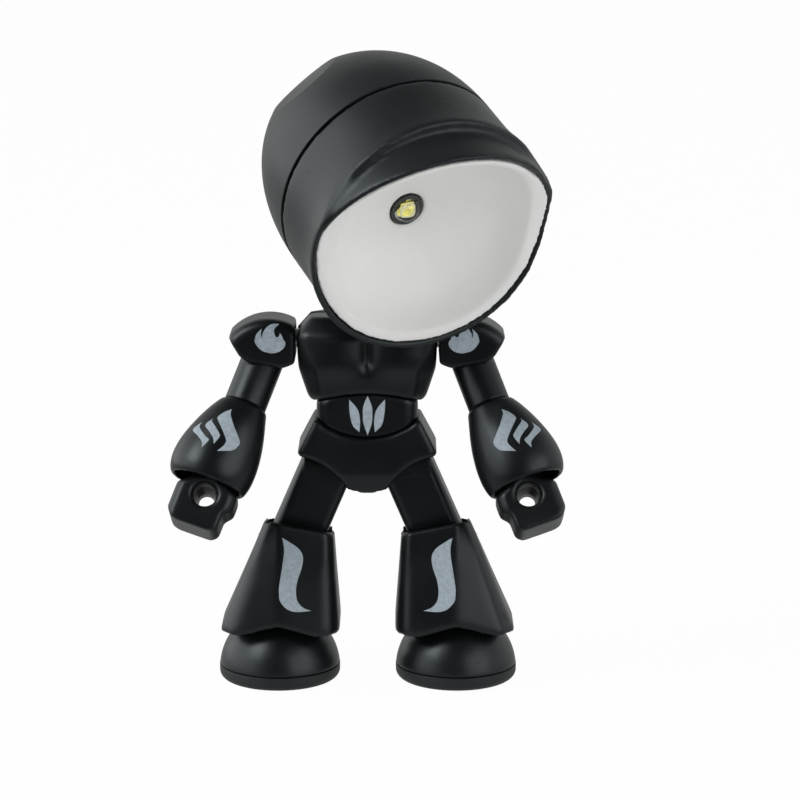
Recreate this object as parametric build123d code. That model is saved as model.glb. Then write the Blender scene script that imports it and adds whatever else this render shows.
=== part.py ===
from build123d import *
import os
from math import cos, radians, sin, sqrt, tan

# Desk lamp in the shape of a jointed standing figure, 95 mm tall.
# Origin on the ground under the middle of the whole lamp. The figure faces -Y, +X is its left
# side, +Z is up. The head is the lamp: its mouth is the light opening. All sizes are in millimetres.
# The sizes below are measured from the hip axle's plane, which stands behind the origin.

figure_back = 8.55        # the hip axle's plane, behind the origin

# Clearances
run_gap = 0.05            # radial, a pin or ball turning in its bore
seat_gap = 0.3            # between faces that move past each other
joint_line = 0.2          # width of the visible line between two moulded shells

# Head form, in the head's own frame: x sideways, y backwards along the light axis, z up
mouth_half_width = 18.55
mouth_half_height = 17.95
mouth_rise = 1.35         # centre of the mouth oval above the light axis
seam_rise = 0.8
seam_half_width = 17.35
seam_half_height = 17.75
seam_depth = 13.0         # from the sides of the mouth back to the line between the shells
head_depth = 37.8
crown_flat = 4.0          # radius of the flat at the back of the dome, round the button
crown_drop = 1.5          # how far that flat's centre lies below the light axis
head_wall = 1.3
lip_wall = 1.0
ledge_back = 2.2          # how far behind the mouth's edge the bowl's flange seats
brow_wall = 2.0           # wall between the ledge and the recess above the visor
brow_wall_end = 6.0
visor_reach = 9.0         # how strongly the top of the mouth comes forward
chin_reach = 2.8
visor_radius = 19.35      # round surface of the recessed band over the mouth
visor_drop = 2.05         # its centre, below the light axis
brow_tip_z = 4.5          # the brow's edge starts at the mouth here,
brow_tip_y = -1.0
brow_bend_z = 10.5        # bends back here
brow_bend_y = 0.6
brow_top_z = 26.0         # and runs on past the top of the head
brow_top_y = 2.6
facet_reach = 19.25       # from the dome's centre out to its surface, where the flats are
facet_depth = 0.9         # how far the flats cut into it

# Light engine
bowl_flange = 1.6
bowl_wall = 0.9
bowl_recess = 0.5
led_radius = 2.45
led_depth = 8.2
chip_size = 1.5
board_radius = 7.5
board_thickness = 1.2

# Battery bay
cell_radius = 5.8
cell_length = 5.4
cell_count = 3
cell_y = 21.6
cell_z = -0.4
contact_thickness = 0.5
tray_wall = 1.2
door_width = 17.0
door_height = 8.0
door_tilt = 36.0
door_drop = 11.0
button_radius = 2.8
button_proud = 1.3
button_travel = 0.8
button_skirt = 0.5
screw_radius = 0.8
screw_head_radius = 1.4

# Neck and the head's attitude at rest
neck_y = 1.75
neck_ball_z = 63.0
neck_ball_radius = 2.8
neck_stem_radius = 1.4
neck_collar_radius = 2.8
neck_collar = 1.2         # thickness of the collar on the chest
neck_bush_wall = 0.9
neck_bush_length = 6.0
neck_cup_wall = 1.4
neck_lip = 1.75           # the socket's lip, below the ball's centre
neck_in_head_y = 17.3
neck_in_head_z = -14.2
nod_up = 34.0             # how far the head tips up and down from its attitude at rest
nod_down = 4.0
head_turn = 28.0
head_tip = 27.3
head_lean = -5.0

# Torso
chest_half_width = 10.25
chest_top_z = 54.6
chest_widest_z = 52.2
chest_ridge_z = 47.2
chest_bottom_z = 42.0
chest_front = 5.6
chest_back = 5.3
# Chest sections from the bottom up: height from the bottom edge, half width, front, back, facet half width
chest_low = (-0.3, 7.65, 4.3, 4.2, 6.0)
chest_hem = (0.9, 8.65, 4.9, 4.6, 6.4)
chest_groove = 1.5        # side of the square whose corner cuts the groove
waist_half_width = 7.4
waist_half_depth = 4.7
waist_rise = 1.4          # how far the chest's lower edge arches up in the middle
waist_dip_z = 36.9
hip_top_z = 39.8
hip_top_half_width = 7.6
hip_half_width = 10.25
hip_widest_z = 34.9
hip_edge_z = 34.2
crotch_z = 28.7
crotch_half_width = 1.5
pelvis_front = 5.7
pelvis_wall = 0.9
pelvis_round = 0.7        # moulded edges of the pelvis
chest_round = 0.6

# Arms: the frame sits at the shoulder, z runs back up the arm, x outwards
shoulder_x = 13.95
shoulder_z = 51.0
arm_swing = 28.0
arm_spread = 20.0
arm_back = 0.8            # how far behind the shoulder pin the arm leaves the pad
pad_half_depth = 4.8
pad_round = 1.6
shoulder_pin_radius = 1.4
arm_radius = 3.1
arm_top = 2.2
elbow_down = 11.2
elbow_line = 0.15         # between the upper arm and the forearm
peg_radius = 1.4
peg_length = 3.8
cuff_down = 24.2          # open end of the forearm, from the shoulder
cuff_depth = 4.0
cuff_wall = 0.8
# Forearm sections: place from elbow to cuff, outward shift, half width, half depth
forearm_rings = (
    (0.0, 0.0, 3.45, 3.45),
    (0.12, 0.3, 4.15, 4.0),
    (0.34, 0.6, 5.2, 4.8),
    (0.68, 0.95, 6.15, 5.4),
    (0.92, 1.0, 5.95, 5.3),
    (1.0, 0.95, 5.5, 4.9),
)
hand_half_width = 4.5
hand_half_depth = 3.3
hand_offset = 0.25
hand_bottom = 31.2
hand_boss_radius = 3.5
hand_chamfer = 0.9
grip_down = 26.3
grip_radius = 1.65

# Legs
leg_spread = 22.0
hip_joint_z = 32.3
thigh_x_at_hip = 6.2
thigh_half_width = 3.9
thigh_half_depth = 3.4
hip_axle_radius = 1.2
knee_joint_z = 21.6
knee_pin_radius = 1.1
shin_top_z = 24.6         # at the outer corner of the cuff
shin_slope = 0.2          # fall of the cuff's edge towards the inside
shin_back_fall = 0.18     # and towards the back
cuff_outer = 15.06
cuff_front = 3.8          # depth of the cuff's front outer corner
shin_hem_z = 8.0
shin_notch = 1.6
shin_wall = 0.8
shin_round = 0.6          # rounding of the shin's upright edges
cuff_round = 0.4
# Corners of the left shin seen from above, at the cuff and at the hem, in the same order
top_ring = [(13.1, -5.9), (14.3, -5.1), (cuff_outer, -cuff_front), (cuff_outer, cuff_front), (13.5, 5.6),
            (6.5, 5.6), (5.0, 4.0), (5.0, -4.3), (6.0, -5.6)]
hem_ring = [(12.6, -9.2), (20.0, -7.4), (21.8, -5.0), (21.8, 5.0), (18.8, 8.6), (7.0, 8.6), (4.0, 5.2),
            (4.0, -5.8), (5.6, -8.2)]
foot_x = 13.1
foot_radius = 8.95
foot_stretch = 1.06       # the foot is a little longer than it is wide
foot_centre_z = 1.3
foot_top_z = 9.9
sole_thickness = 2.05
sole_edge = 1.2
sole_shave = 0.05          # taken off the sole's underside to make it truly flat
sole_line = 0.2
ankle_z = 4.1
ankle_pin_radius = 1.0
tongue_half_width = 2.0
tongue_half_depth = 1.7
ankle_room = 15.0


def ellipse_at(y, half_width, half_height, z):
    """Ellipse across the head's light axis."""
    return Plane(origin=(0, y, z), x_dir=(1, 0, 0), z_dir=(0, -1, 0)) * Ellipse(half_width, half_height)


def head_form(inset=0.0):
    """Solid helmet form, drawn in by inset all round: a long oval tube with a domed back."""
    dome = head_depth - seam_depth
    sections = [
        ellipse_at(-12.0, mouth_half_width + 0.3 - inset, mouth_half_height - 0.1 - inset, mouth_rise),
        ellipse_at(0.0, mouth_half_width - inset, mouth_half_height - inset, mouth_rise),
        ellipse_at(seam_depth, seam_half_width - inset, seam_half_height - inset, seam_rise),
    ]
    for t in (0.3, 0.55, 0.75, 0.9):
        shrink = sqrt(1 - t * t)
        sections.append(ellipse_at(
            seam_depth + (dome - inset) * t,
            (seam_half_width - inset) * shrink,
            (seam_half_height - inset) * shrink,
            seam_rise - (seam_rise + crown_drop) * t * t,
        ))
    flat = crown_flat - 0.4 * inset
    sections.append(ellipse_at(head_depth - inset, flat, flat, -crown_drop))
    return loft(sections)


def mouth_edge(z):
    """Where the mouth's edge lies along the light axis at height z: visor above, chin below."""
    share = z / (mouth_half_height + mouth_rise)
    return -visor_reach * max(share, 0.0) ** 1.5 + chin_reach * share


def mouth_cutter(back=0.0):
    """Everything in front of the mouth's edge, moved back by a recess."""
    heights = [-1.25, -0.9, -0.45, 0.0, 0.4, 0.8, 1.08, 1.25]
    points = [(mouth_edge(h * mouth_half_height) + back, h * mouth_half_height) for h in heights]
    front = -30.0
    with BuildPart() as cutter:
        with BuildSketch(Plane.YZ):
            with BuildLine():
                edge = Spline(*points)
                Polyline(edge @ 1, (front, points[-1][1]), (front, points[0][1]), edge @ 0)
            make_face()
        extrude(amount=2 * mouth_half_width, both=True)
    return cutter.part


def slab_y(low, high):
    """Wide slab across the light axis between two depths."""
    return Pos(0, (low + high) / 2, 0) * Box(60, high - low, 60)


def visor_round(inset=0.0):
    """Column along the light axis that the band over the mouth is turned to."""
    return Pos(0, 0, -visor_drop) * Rot(90, 0, 0) * Cylinder(visor_radius - inset, 60)


def front_form(inset=0.0):
    """The head's form with the band over the mouth drawn in."""
    return head_form(inset) & visor_round(inset)


def brow_cutter():
    """What is taken off over the mouth: a crescent that fades out towards the temples."""
    outline = [(brow_tip_y, brow_tip_z), (brow_bend_y, brow_bend_z), (brow_top_y, brow_top_z),
               (-30, brow_top_z), (-30, brow_tip_z)]
    wedge = extrude(Plane.YZ * make_face(Polyline(*outline, close=True)), amount=25, both=True)
    return wedge - visor_round()


def facet_cutters():
    """Flat on each side of the dome's crown."""
    cutters = []
    for side in (-1, 1):
        normal = Vector(side * 0.55, 0.6, 0.6).normalized()
        centre = Vector(0, seam_depth, mouth_rise)
        plane = Plane(origin=centre + normal * (facet_reach - facet_depth), z_dir=normal)
        cutters.append(plane * Pos(0, 0, 10) * Box(60, 60, 20))
    return cutters


def button_bore(radius):
    """Bore through the dome's end for the push button."""
    return Pos(0, head_depth - 4, -crown_drop) * Rot(-90, 0, 0) * Cylinder(radius, 14)


def door_plane():
    """Plane inside the dome, facing out through the middle of the battery door."""
    return Plane(
        origin=(0, seam_depth + 8, -door_drop + 6),
        x_dir=(1, 0, 0),
        z_dir=(0, cos(radians(door_tilt)), -sin(radians(door_tilt))),
    )


def door_prism(margin=0.0):
    """Rounded rectangular column through the lower back of the dome, where the battery door sits."""
    outline = RectangleRounded(door_width + 2 * margin, door_height + 2 * margin, 1.5 + margin)
    return extrude(door_plane() * outline, 20)


def neck_centre():
    """The neck ball's centre in the head's frame."""
    return Pos(0, neck_in_head_y, neck_in_head_z)


def below_neck_lip():
    """Everything under the socket's lip, which stands square to the middle of the nod."""
    middle = head_tip - (nod_up - nod_down) / 2
    return neck_centre() * Rot(-middle, 0, 0) * Pos(0, 0, -neck_lip - 10) * Box(20, 20, 20)


def make_head_front():
    """Front shell: visor, chin, brow recess and the lip round the mouth."""
    shell = head_form() & slab_y(-20, seam_depth - joint_line)
    shell -= front_form(lip_wall) & mouth_cutter(ledge_back)
    shell -= front_form(brow_wall) & slab_y(-30, seam_depth)
    shell -= head_form(head_wall) & slab_y(brow_wall_end, seam_depth)
    shell -= mouth_cutter()
    shell -= brow_cutter()
    return shell


def make_head_rear():
    """Rear shell: dome with flats, openings for button, battery door and neck."""
    shell = head_form() & slab_y(seam_depth, 60)
    shell -= head_form(head_wall) & slab_y(seam_depth - 1, head_depth - head_wall)
    for cutter in facet_cutters():
        shell -= cutter
    shell -= button_bore(button_radius + seat_gap / 2)
    shell -= door_prism(joint_line / 2)
    return shell - neck_centre() * Sphere(neck_ball_radius + neck_cup_wall)


def bowl_form(grow=0.0):
    """Inner form of the reflector: straight behind the flange, then curving in to the LED."""
    first = mouth_half_width - lip_wall - run_gap - bowl_flange
    low = mouth_half_height - mouth_rise - lip_wall - run_gap - bowl_flange
    high = visor_radius - visor_drop - lip_wall - run_gap - bowl_flange
    tall = (high + low) / 2
    rise = (high - low) / 2
    steps = ((-12.0, 1.0), (-0.5, 0.985), (2.6, 0.86), (5.0, 0.64), (6.9, 0.38))
    sections = [
        ellipse_at(y + grow, first * share + grow, tall * share + grow, rise * share)
        for y, share in steps
    ]
    sections.append(ellipse_at(led_depth + grow, led_radius + run_gap + grow * 0.6,
                               led_radius + run_gap + grow * 0.6, 0.0))
    return loft(sections)


def make_reflector():
    """White bowl whose flange follows the mouth's edge."""
    flange = front_form(lip_wall + run_gap) & mouth_cutter(ledge_back)
    bowl = bowl_form(bowl_wall) & front_form(brow_wall + run_gap)
    body = (bowl + flange) - bowl_form()
    body -= mouth_cutter(bowl_recess)
    body -= Pos(0, led_depth, 0) * Rot(90, 0, 0) * Cylinder(led_radius + run_gap, 6)
    return body


def make_led_holder():
    """Dark round LED body that fills the hole in the bowl and stands on the board."""
    base = Pos(0, led_depth + 0.9, 0) * Rot(90, 0, 0) * Cylinder(led_radius, 2.2)
    seat = Pos(0, led_depth - 0.2, 0) * Rot(90, 0, 0) * Cylinder(led_radius - 0.5, 1.0)
    return base - seat


def make_led_chip():
    """Square emitter on the floor of the LED body."""
    return Pos(0, led_depth + 0.15, 0) * Box(chip_size, 0.3, chip_size)


def make_led_lens():
    """Clear dome over the emitter."""
    radius = led_radius - 0.5
    dome = Pos(0, led_depth + 0.3, 0) * Sphere(radius)
    dome = dome & slab_y(-10, led_depth + 0.3)
    return dome - Pos(0, led_depth + 0.15, 0) * Box(chip_size, 0.3, chip_size)


def make_led_board():
    """Round board behind the bowl."""
    y = led_depth + 2.0 + board_thickness / 2
    return Pos(0, y, 0) * Rot(90, 0, 0) * Cylinder(board_radius, board_thickness)


def stack_length():
    """Length of the cells in a row."""
    return cell_count * cell_length


def cell_column(radius, length):
    """Cylinder along x at the battery's place."""
    return Pos(0, cell_y, cell_z) * Rot(0, 90, 0) * Cylinder(radius, length)


def make_cells():
    """Button cells side by side, with a rim line on each."""
    cells = []
    for index in range(cell_count):
        x = (index - (cell_count - 1) / 2) * cell_length
        cell = Pos(x, cell_y, cell_z) * Rot(0, 90, 0) * Cylinder(cell_radius, cell_length)
        ring = Pos(x + cell_length / 2 - 0.4, cell_y, cell_z) * Rot(0, 90, 0) * Cylinder(cell_radius + 1, 0.8)
        ring -= Pos(x, cell_y, cell_z) * Rot(0, 90, 0) * Cylinder(cell_radius - 0.5, cell_length)
        cells.append(cell - ring)
    return Compound(cells)


def make_tray():
    """Trough round the front half of the cells, with a foot down to the neck cup."""
    length = stack_length() + 2 * contact_thickness + 2 * tray_wall
    radius = cell_radius + run_gap
    front = led_depth + 2.0 + board_thickness
    depth = cell_y - front
    trough = Pos(0, front + depth / 2, cell_z) * Box(length, depth, 2 * (radius + tray_wall))
    trough -= cell_column(radius, length - 2 * tray_wall)
    foot_top = cell_z - radius - tray_wall
    foot_low = neck_in_head_z + neck_ball_radius
    foot = Pos(0, neck_in_head_y, (foot_top + foot_low) / 2) * Box(6, 5, foot_top - foot_low)
    return trough + foot - Pos(0, neck_in_head_y, neck_in_head_z) * Sphere(neck_ball_radius + neck_cup_wall)


def make_contacts():
    """Contact plates at the two ends of the battery."""
    plates = []
    for side in (-1, 1):
        x = side * (stack_length() + contact_thickness) / 2
        plates.append(Pos(x, cell_y - 1.0, cell_z) * Box(contact_thickness, 7.0, 7.0))
    return Compound(plates)


def make_door():
    """Battery door: the piece of the dome inside the door's outline, with its screw hole."""
    skin = head_form() & slab_y(seam_depth, 60)
    skin -= head_form(head_wall) & slab_y(seam_depth - 1, head_depth - head_wall)
    door = skin & door_prism()
    axis = door_plane().location
    return door - axis * Cylinder(screw_radius, 60)


def make_door_screw():
    """Small screw through the battery door, its head on the door."""
    axis = door_plane().location
    skin = make_door()
    reach = (axis.inverse() * skin).bounding_box().max.Z
    head = Pos(0, 0, reach + 0.3) * Cylinder(screw_head_radius, 0.6)
    shank = Pos(0, 0, reach - 2.5) * Cylinder(screw_radius - run_gap, 5.0)
    return axis * (head + shank)


def make_button():
    """Round push button in the back of the dome, with a flange inside and a domed face."""
    outer = head_depth + button_proud
    cap = Pos(0, (head_depth - head_wall - 1 + outer) / 2, -crown_drop) * Rot(90, 0, 0) * Cylinder(
        button_radius, outer - head_depth + head_wall + 1)
    cap = fillet(cap.edges().group_by(Axis.Y)[-1], 0.5)
    skirt_back = head_depth - head_wall - 0.1
    skirt = Pos(0, skirt_back - button_skirt / 2, -crown_drop) * Rot(90, 0, 0) * Cylinder(
        button_radius + 0.6, button_skirt)
    return cap + skirt


def switch_front():
    """Depth of the push switch's plunger face."""
    return head_depth - head_wall - 1 - button_travel - seat_gap / 3


def make_switch():
    """Push switch behind the button, standing on the battery tray's back edge."""
    top = switch_front()
    body = Pos(0, top - 1.6, -crown_drop) * Box(6.0, 2.2, 6.0)
    plunger = Pos(0, top - 0.4, -crown_drop) * Rot(90, 0, 0) * Cylinder(1.2, 0.8)
    return body + plunger


def make_switch_bracket():
    """Strut that carries the switch above the cells."""
    top = switch_front() - 2.7
    low = cell_y
    arm_z = cell_z + cell_radius + run_gap + tray_wall / 2
    beam = Pos(0, (top + low) / 2, arm_z) * Box(5.0, top - low, tray_wall)
    height = arm_z + crown_drop + 4
    plate = Pos(0, top - tray_wall / 2, (arm_z - crown_drop) / 2) * Box(5.0, tray_wall, height)
    return beam + plate - cell_column(cell_radius + run_gap, stack_length())


def make_neck_cup():
    """Cup that holds the neck ball: a thick-walled ball socket, cut off flush with the dome."""
    cup = head_form() & neck_centre() * Sphere(neck_ball_radius + neck_cup_wall)
    return cup - neck_centre() * Sphere(neck_ball_radius + run_gap) - below_neck_lip()


def head_location():
    """Where the head's own frame stands at rest, hung from the neck ball."""
    return (
        Pos(0, neck_y, neck_ball_z) * Rot(0, 0, head_turn) * Rot(head_tip, 0, 0) * Rot(0, head_lean, 0)
        * Pos(0, -neck_in_head_y, -neck_in_head_z)
    )


def make_neck_stem():
    """Turned neck: ball, stem, collar over the chest and a shaft with a snap end."""
    ball = Pos(0, 0, neck_ball_z) * Sphere(neck_ball_radius)
    collar_low = chest_top_z + seat_gap
    low = chest_top_z - neck_bush_length - seat_gap - 1.1
    snap_z = low + 0.5
    stem = Pos(0, 0, (neck_ball_z + low) / 2) * Cylinder(neck_stem_radius, neck_ball_z - low)
    collar = Pos(0, 0, collar_low + neck_collar / 2) * Cylinder(neck_collar_radius, neck_collar)
    snap = Pos(0, 0, snap_z) * Cylinder(neck_stem_radius + 0.5, 1.0)
    return Pos(0, neck_y, 0) * (ball + stem + collar + snap)


def make_neck_bush():
    """Plain bush in the chest that the neck's shaft turns in."""
    place = Pos(0, neck_y, chest_top_z - neck_bush_length / 2)
    bush = Cylinder(neck_stem_radius + neck_bush_wall, neck_bush_length)
    return place * (bush - Cylinder(neck_stem_radius + run_gap, neck_bush_length + 2))


def chest_section(z, half_width, front, back, facet):
    """Eight-sided chest section at height z, with its front corners cut back to the facet."""
    corner = (half_width - facet) * 0.85
    points = [
        (-facet, -front), (facet, -front), (half_width, -front + corner), (half_width, back - 1.8),
        (half_width - 1.8, back), (1.8 - half_width, back), (-half_width, back - 1.8),
        (-half_width, -front + corner),
    ]
    return Plane.XY.offset(z) * make_face(Polyline(*points, close=True))


def chest_form():
    """Faceted chest block, wide at the shoulders and narrow at the waist."""
    sections = [chest_section(chest_bottom_z + rise, *sizes) for rise, *sizes in (chest_low, chest_hem)]
    sections += [
        chest_section(chest_ridge_z, chest_half_width - 0.2, chest_front, 5.0, 7.35),
        chest_section(chest_widest_z, chest_half_width, chest_front - 0.3, chest_back, 9.2),
        chest_section(chest_top_z, chest_half_width - 2.0, 3.4, chest_back - 1.4, 7.4),
    ]
    block = loft(sections, ruled=True)
    return fillet(block.edges(), chest_round)


def waist_arch():
    """Column under the chest's lower edge, which arches up in the middle."""
    low = chest_bottom_z - 6
    half = chest_half_width
    with BuildPart() as cutter:
        with BuildSketch(Plane.XZ):
            with BuildLine():
                arc = ThreePointArc((-half, chest_bottom_z - 0.8), (0, chest_bottom_z + waist_rise),
                                    (half, chest_bottom_z - 0.8))
                Polyline(arc @ 1, (half, low), (-half, low), arc @ 0)
            make_face()
        extrude(amount=12, both=True)
    return cutter.part


def make_chest(front_half):
    """Front or back chest shell, split through the neck's axis."""
    body = chest_form() - waist_arch()
    groove = Pos(0, -chest_front - 0.1, (chest_ridge_z + chest_top_z) / 2 + 0.4) * Rot(0, 0, 45) * Box(
        chest_groove, chest_groove, chest_top_z - chest_ridge_z)
    body -= groove
    height = chest_widest_z - chest_bottom_z - 3.4
    body -= Pos(0, 0, chest_bottom_z + 2.2 + height / 2) * Box(
        2 * (chest_half_width - 3.6), chest_front + chest_back - 4.4, height)
    bush_low = chest_top_z - neck_bush_length
    body -= Pos(0, neck_y, chest_top_z - neck_bush_length / 2) * Cylinder(
        neck_stem_radius + neck_bush_wall, neck_bush_length)
    body -= Pos(0, neck_y, bush_low - 0.9) * Cylinder(neck_stem_radius + 0.8, 2.4)
    for side in (-1, 1):
        body -= shoulder_pin_bar(side, 0.0)
        body -= chest_screw(side, 0.0)
    half = Pos(0, neck_y - 20 if front_half else neck_y + 20, 50) * Box(40, 40, 40)
    return body & half


def shoulder_pin_bar(side, gap):
    """Pin from inside the chest out into the shoulder pad."""
    inner = chest_half_width - 3.6
    outer = shoulder_x + 1.0
    x = side * (inner + outer) / 2
    length = outer - inner + 2 * gap
    return Pos(x, 0, shoulder_z) * Rot(0, 90, 0) * Cylinder(shoulder_pin_radius + gap, length)


def chest_screw(side, gap):
    """Countersunk screw from the back of the chest into the front shell."""
    head_y = chest_back - 0.5
    x = side * 5.4
    z = chest_widest_z - 0.9
    shank = Pos(x, head_y - 3.6, z) * Rot(90, 0, 0) * Cylinder(screw_radius + gap, 7.2)
    head = Pos(x, head_y, z) * Rot(90, 0, 0) * Cylinder(screw_head_radius + gap, 1.0)
    return shank + head


def make_abdomen():
    """Rounded waist block between the chest's arch and the pelvis."""
    block = extrude(Plane.XY.offset(waist_dip_z - 2) * RectangleRounded(
        2 * waist_half_width, 2 * waist_half_depth, 2.2), chest_bottom_z + 3 - waist_dip_z + 2)
    block = block & waist_arch()
    return block - pelvis_column()


def pelvis_column():
    """Everything below the pelvis's dipped upper edge."""
    half = hip_half_width + 1
    rise = hip_top_z - waist_dip_z
    with BuildPart() as column:
        with BuildSketch(Plane.XZ):
            with BuildLine():
                arc = ThreePointArc((-hip_top_half_width, hip_top_z), (0, waist_dip_z),
                                    (hip_top_half_width, hip_top_z))
                Polyline(arc @ 1, (half, hip_top_z + rise * 0.3), (half, 20), (-half, 20),
                         (-half, hip_top_z + rise * 0.3), arc @ 0)
            make_face()
        extrude(amount=12, both=True)
    return column.part


def pelvis_outline():
    """Right and left outline of the pelvis in the front view."""
    side = [(hip_top_half_width, hip_top_z + 0.2), (hip_half_width, hip_widest_z),
            (hip_half_width - 0.4, hip_edge_z)]
    with BuildSketch(Plane.XZ) as sketch:
        with BuildLine():
            Polyline((0, hip_top_z + 1.5), side[0], side[1], side[2])
            ThreePointArc(side[2], (6.8, 33.1), (3.9, crotch_z + 1.9))
            Polyline((3.9, crotch_z + 1.9), (3.0, crotch_z + 0.4), (crotch_half_width, crotch_z),
                     (0, crotch_z))
            mirror(about=Plane.YZ)
        make_face()
    return sketch.sketch


def hip_room(side):
    """Hollow inside the pelvis where the top of the thigh swings."""
    inner = crotch_half_width - 0.15
    outer = hip_half_width - 0.75
    width = outer - inner
    depth = pelvis_front - pelvis_wall
    top = hip_joint_z + thigh_half_depth + 0.4
    x = side * (inner + outer) / 2
    box = Pos(x, 0, (top + 20) / 2) * Box(width, 2 * depth, top - 20)
    return box


def make_pelvis():
    """Pelvis shell: tapered front and back, dipped upper edge, open below for the thighs."""
    profile = [(-4.9, hip_top_z + 1), (-pelvis_front, hip_widest_z), (-pelvis_front, hip_edge_z - 2.5),
               (-4.8, crotch_z - 0.5), (4.8, crotch_z - 0.5), (pelvis_front, hip_edge_z - 2.5),
               (pelvis_front, hip_widest_z), (4.9, hip_top_z + 1)]
    body = extrude(pelvis_outline(), amount=12, both=True)
    body = body & extrude(Plane.YZ * make_face(Polyline(*profile, close=True)), amount=20, both=True)
    body = fillet(body.edges().filter_by(lambda edge: abs(edge.center().Y) > 4), pelvis_round)
    body = body & pelvis_column()
    for side in (-1, 1):
        body -= hip_room(side)
    return body - hip_axle_bar(0.0)


def hip_axle_bar(gap):
    """Axle across the crotch web that both thighs swing on."""
    length = 2 * (hip_half_width - 3.0)
    return Pos(0, 0, hip_joint_z) * Rot(0, 90, 0) * Cylinder(hip_axle_radius + gap, length + 2 * gap)


def arm_location():
    """Frame of the left arm at rest."""
    return Pos(shoulder_x, arm_back, shoulder_z) * Rot(-arm_swing, 0, 0) * Rot(0, -arm_spread, 0)


def make_pad():
    """Shoulder pad: arched top, pointed outer corner, slanted lower opening round the arm."""
    inner = chest_half_width + joint_line - shoulder_x
    with BuildPart() as pad:
        with BuildSketch(Plane.XZ):
            with BuildLine():
                Polyline((inner, 2.4), (inner, -3.1), (-1.75, -3.8), (3.5, -2.9), (4.6, -2.0), (6.2, 0.7))
                ThreePointArc((6.2, 0.7), (2.4, 3.1), (inner, 2.4))
            make_face()
        extrude(amount=pad_half_depth, both=True)
        crown = pad.edges().filter_by(lambda edge: edge.center().Z > 0.9 and abs(edge.center().Y) > 1)
        fillet(crown, pad_round)
    body = Pos(shoulder_x, 0, shoulder_z) * pad.part
    body -= shoulder_pin_bar(1, run_gap)
    return body - arm_location() * Pos(0, 0, -arm_top - 5) * Cylinder(arm_radius, 10)


def make_upper_arm():
    """Upper arm: plain round limb with a bore for the elbow peg."""
    length = elbow_down - arm_top
    limb = Pos(0, 0, -(elbow_down + arm_top) / 2) * Cylinder(arm_radius, length)
    limb = limb - Pos(0, 0, -elbow_down + 1.5) * Cylinder(peg_radius, 3.0)
    return limb


def make_elbow_peg():
    """Peg pressed into the upper arm that the forearm turns on."""
    return Pos(0, 0, -elbow_down + 3.0 - (peg_length + 3.0) / 2) * Cylinder(peg_radius, peg_length + 3.0)


def forearm_section(down, ring, inset=0.0):
    """Oval section of the forearm at a distance down the arm, drawn in by inset."""
    place, shift, half_width, half_depth = ring
    return Plane.XY.offset(-down) * Pos(shift, 0) * Ellipse(half_width - inset, half_depth - inset)


def make_forearm():
    """Gauntlet: swells outwards below the elbow and ends in an open cuff."""
    top = elbow_down + elbow_line
    outer = loft([forearm_section(top + ring[0] * (cuff_down - top), ring) for ring in forearm_rings])
    rim = forearm_rings[-1]
    swell = forearm_rings[-2]
    room = loft([
        forearm_section(cuff_down - cuff_depth, swell, cuff_wall),
        forearm_section(cuff_down - 1.0, swell, cuff_wall),
        forearm_section(cuff_down + 0.2, rim, cuff_wall - 0.1),
    ])
    body = outer - room
    body -= Pos(0, 0, -elbow_down - (peg_length + seat_gap) / 2) * Cylinder(
        peg_radius + run_gap, peg_length + seat_gap)
    wrist_top = elbow_down + peg_length + 1.2
    body -= Pos(0, 0, -(wrist_top + cuff_down) / 2) * Cylinder(peg_radius + run_gap, cuff_down - wrist_top)
    return body


def wrist_peg_top():
    """Upper end of the wrist peg."""
    return elbow_down + peg_length + 1.2 + seat_gap


def make_wrist_peg():
    """Peg fixed in the hand that turns in the forearm."""
    low = cuff_down - 0.2
    top = wrist_peg_top()
    return Pos(0, 0, -(low + top) / 2) * Cylinder(peg_radius, low - top)


def make_hand():
    """Fist with a cross hole for a grip, a chamfered knuckle edge and a step for the thumb."""
    left = hand_offset - hand_half_width
    right = hand_offset + hand_half_width
    top = -(cuff_down - cuff_depth + seat_gap)
    low = -hand_bottom
    outline = [(left, top), (right, top), (right, low + 1.6), (right - 1.0, low + 0.3), (right - 2.0, low),
               (left + 2.0, low), (left + 1.1, low + 0.8), (left + 1.1, low + 3.2), (left, low + 4.0)]
    fist = extrude(Plane.XZ * make_face(Polyline(*outline, close=True)), amount=hand_half_depth, both=True)
    fist = chamfer(fist.edges().filter_by(Axis.Z).filter_by(
        lambda edge: edge.length > 4), hand_chamfer)
    turned = Polyline((0, top), (hand_boss_radius, top), (hand_boss_radius, -cuff_down + 0.1),
                      (hand_boss_radius + 4, -cuff_down - 3.4), (hand_boss_radius + 4, low - 1), (0, low - 1),
                      close=True)
    fist = fist & revolve(Plane.XZ * make_face(turned), Axis.Z)
    grip = Pos(hand_offset, 0, -grip_down) * Rot(90, 0, 0) * Cylinder(grip_radius, 20)
    socket_low = cuff_down - 0.2
    peg_hole = Pos(0, 0, (top - socket_low) / 2) * Cylinder(peg_radius, socket_low + top)
    return fist - grip - peg_hole


def thigh_x(z):
    """Middle of the thigh in the front view at height z."""
    return thigh_x_at_hip + (hip_joint_z - z) * tan(radians(leg_spread))


def bar_x(x_low, x_high, z, radius):
    """Round bar along x between two places."""
    return Pos((x_low + x_high) / 2, 0, z) * Rot(0, 90, 0) * Cylinder(radius, x_high - x_low)


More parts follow.
